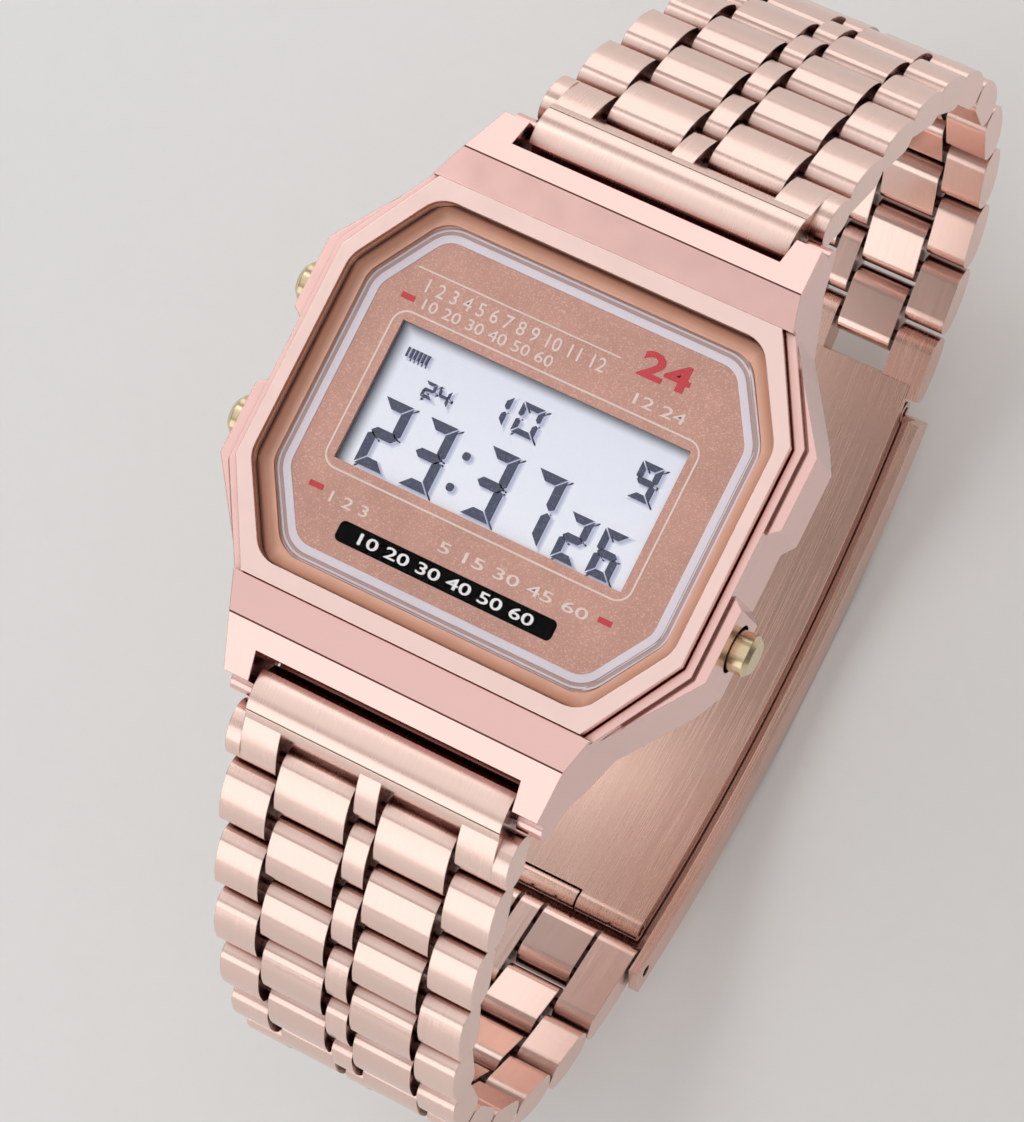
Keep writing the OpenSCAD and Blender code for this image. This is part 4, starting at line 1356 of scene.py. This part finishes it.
@dataclass
class Back(SubAssembly):
    """The case back with its gasket and screws."""

    finishes: dict[str, Finish] = field(default_factory=lambda: {
        "case_back": TURNED_STEEL,
        "back_gasket": RUBBER,
        "back_screws": NICKEL})


@dataclass
class PushButtons(SubAssembly):
    """The three push buttons with their clips, springs and seals."""

    finishes: dict[str, Finish] = field(default_factory=lambda: {
        "button_light": BUTTON_GOLD,
        "clip_light": DRAWN_STEEL,
        "button_mode": BUTTON_GOLD,
        "clip_mode": DRAWN_STEEL,
        "button_start": BUTTON_GOLD,
        "clip_start": DRAWN_STEEL,
        "button_springs": DRAWN_STEEL,
        "button_seals": RUBBER})


@dataclass
class Bracelet(SubAssembly):
    """Both halves of the bracelet, from the end link to the clasp.

    Attributes:
        halves: The o'clock at which each half starts.
        rows: Rows in each half.
        taper_rows: How many of them get narrower, one after the other.
        taper_mm: How much less far the wide links' outer side is from the middle in each.
    """

    halves: tuple[str, ...] = ("12", "6")
    rows: int = 10
    taper_rows: int = 5
    taper_mm: float = 0.174

    def row_finish(self, row: int) -> Finish:
        """Fit the wide links' smoother band to a row, which is narrower than the row before it.

        Args:
            row: The row's number, counted from the end link.

        Returns:
            The row's finish.
        """
        step = min(row, self.taper_rows)
        reach = BRUSHED_ROSE.satin_to_mm - step * self.taper_mm
        return replace(BRUSHED_ROSE, name=f"{BRUSHED_ROSE.name}_{step}", satin_to_mm=reach)

    def dress(self) -> None:
        """Give each end link and row its brushed finish."""
        for half in self.halves:
            self.finishes[f"end_link_{half}"] = BRUSHED_BAR
            for row in range(1, self.rows + 1):
                self.finishes[f"row_{half}_{row:02d}"] = self.row_finish(row)
        super().dress()


@dataclass
class FoldingClasp(SubAssembly):
    """The folding clasp's cover, blades and pins."""

    finishes: dict[str, Finish] = field(default_factory=lambda: {
        "clasp_cover": BRUSHED_CLASP,
        "clasp_inner_blade": BRUSHED_CLASP,
        "clasp_middle_blade": BRUSHED_CLASP,
        "clasp_strap_pin": DRAWN_STEEL,
        "clasp_pins": DRAWN_STEEL,
        "clasp_spring_bar": DRAWN_STEEL})


@dataclass(frozen=True)
class Lamp:
    """A soft area lamp that points at the watch.

    Attributes:
        name: The lamp's name.
        place: Where it stands, in metres.
        size: Its width and height in metres.
        power: Its power in watts.
        colour: The colour of its light.
    """

    name: str
    place: Place
    size: Pair
    power: float
    colour: str = "#FFFFFF"

    def build(self) -> None:
        """Make the lamp and turn it towards the watch head."""
        data = bpy.data.lights.new(self.name, "AREA")
        data.shape = "RECTANGLE"
        data.size, data.size_y = self.size
        data.energy = self.power
        data.color = linear(self.colour)[:3]
        lamp = bpy.data.objects.new(self.name, data)
        lamp.location = self.place
        lamp.rotation_euler = Vector(self.place).to_track_quat("Z", "Y").to_euler()
        bpy.context.scene.collection.objects.link(lamp)


@dataclass
class Studio:
    """The floor, the lamps, the world and the camera.

    The camera's place, axes and lens were fitted to points of the watch in the photograph.

    Attributes:
        floor_half: Half the floor's side in metres.
        floor_drop_mm: How far it lies under the bracelet.
        lamps: The lamps.
        plain_light: Strength of the even light from all round.
        background: Colour of the background that the camera sees.
        mirrored: Heights and colours of the surroundings that metal mirrors.
        camera_mm: The camera's place.
        camera_right: Direction to the right of its picture.
        camera_up: Direction to the top of its picture.
        camera_back: Direction from the picture to the camera.
        lens: Focal length in millimetres.
        sensor: Width of the sensor in millimetres.
        clip: Nearest and furthest distance in metres that the camera shows.
    """

    floor_half: float = 1.6
    floor_drop_mm: float = 0.05
    lamps: tuple[Lamp, ...] = (
        Lamp("key_lamp", (-0.62, 0.30, 0.66), (0.60, 0.60), 1.65),
        Lamp("side_lamp", (0.60, -0.12, 0.34), (0.20, 0.20), 0.12, "#FFF8F2"),
        Lamp("front_lamp", (-0.20, -0.64, 0.22), (0.60, 0.46), 1.08),
        Lamp("rear_lamp", (-0.20, 0.66, 0.20), (0.60, 0.40), 0.88))
    plain_light: float = 0.62
    background: str = "#EFEDEB"
    mirrored: tuple[tuple[float, str], ...] = (
        (0.0, "#A9A4A1"), (0.15, "#6E6967"), (0.5, "#76706E"), (0.74, "#D6D3D1"), (0.85, "#FBFAFA"))
    camera_mm: Place = (76.45, -22.73, 245.61)
    camera_right: Place = (0.8633, 0.4470, -0.2342)
    camera_up: Place = (-0.4102, 0.8919, 0.1903)
    camera_back: Place = (0.2939, -0.0682, 0.9534)
    lens: float = 138.77
    sensor: float = 36.0
    clip: Span = (0.01, 20.0)

    def build_floor(self) -> None:
        """Lay the pale floor just under the bracelet."""
        level = cad_box[0][2] - mm(self.floor_drop_mm)
        mesh = bpy.data.meshes.new("floor")
        square = rectangle(-self.floor_half, -self.floor_half, self.floor_half, self.floor_half)
        mesh.from_pydata([(x, y, level) for x, y in square], [], [(0, 1, 2, 3)])
        floor = bpy.data.objects.new("floor", mesh)
        bpy.context.scene.collection.objects.link(floor)
        coat(floor, FLOOR)

    def build_world(self) -> None:
        """Make a plain level of light, a pale background and a soft gradient for what metal mirrors."""
        world = bpy.data.worlds.new("studio")
        bpy.context.scene.world = world
        world.use_nodes = True
        graph = NodeGraph(world.node_tree)
        height = graph.add("SeparateXYZ", (graph.add("TexCoord").outputs["Generated"],)).outputs[2]
        ramp = graph.add("ValToRGB", (height,))
        stops = ramp.color_ramp.elements
        while len(stops) < len(self.mirrored):
            stops.new(1.0)
        for stop, (position, colour) in zip(stops, self.mirrored):
            stop.position = position
            stop.color = linear(colour)
        path = graph.add("LightPath").outputs
        glossy = path["Is Glossy Ray"]
        direct = graph.add("Math", (path["Is Camera Ray"], path["Is Transmission Ray"]), operation="MAXIMUM")
        seen = graph.add("Math", (direct.outputs[0], glossy), operation="MAXIMUM").outputs[0]
        shown = graph.add(
            "Mix", {0: glossy, 6: linear(self.background), 7: ramp.outputs[0]}, data_type="RGBA").outputs[2]
        view = graph.add("Background", {"Color": shown, "Strength": 1.0}).outputs[0]
        plain = graph.add("Background", {"Color": linear("#FFFFFF"), "Strength": self.plain_light}).outputs[0]
        graph.add("OutputWorld", {"Surface": graph.add("MixShader", (seen, plain, view)).outputs[0]})

    def build_camera(self) -> None:
        """Set the camera at the photograph's angle."""
        data = bpy.data.cameras.new("camera")
        data.lens = self.lens
        data.sensor_width = self.sensor
        data.clip_start, data.clip_end = self.clip
        camera = bpy.data.objects.new("camera", data)
        turn = Matrix((self.camera_right, self.camera_up, self.camera_back)).transposed().to_4x4()
        camera.matrix_world = Matrix.Translation([mm(c) for c in self.camera_mm]) @ turn
        bpy.context.scene.collection.objects.link(camera)
        bpy.context.scene.camera = camera

    def build(self) -> None:
        """Build the whole studio."""
        self.build_floor()
        for lamp in self.lamps:
            lamp.build()
        self.build_world()
        self.build_camera()
        bpy.context.scene.view_settings.view_transform = "Standard"


def main() -> None:
    """Build and dress each sub-assembly, then the studio."""
    logging.basicConfig(level=logging.INFO, format="%(message)s")
    for part in (Head(), Dial(), Display(), Movement(), Back(), PushButtons(), Bracelet(), FoldingClasp()):
        log.info("%s", type(part).__name__)
        part.build()
        part.dress()
    Studio().build()


if __name__ == "__main__":
    main()
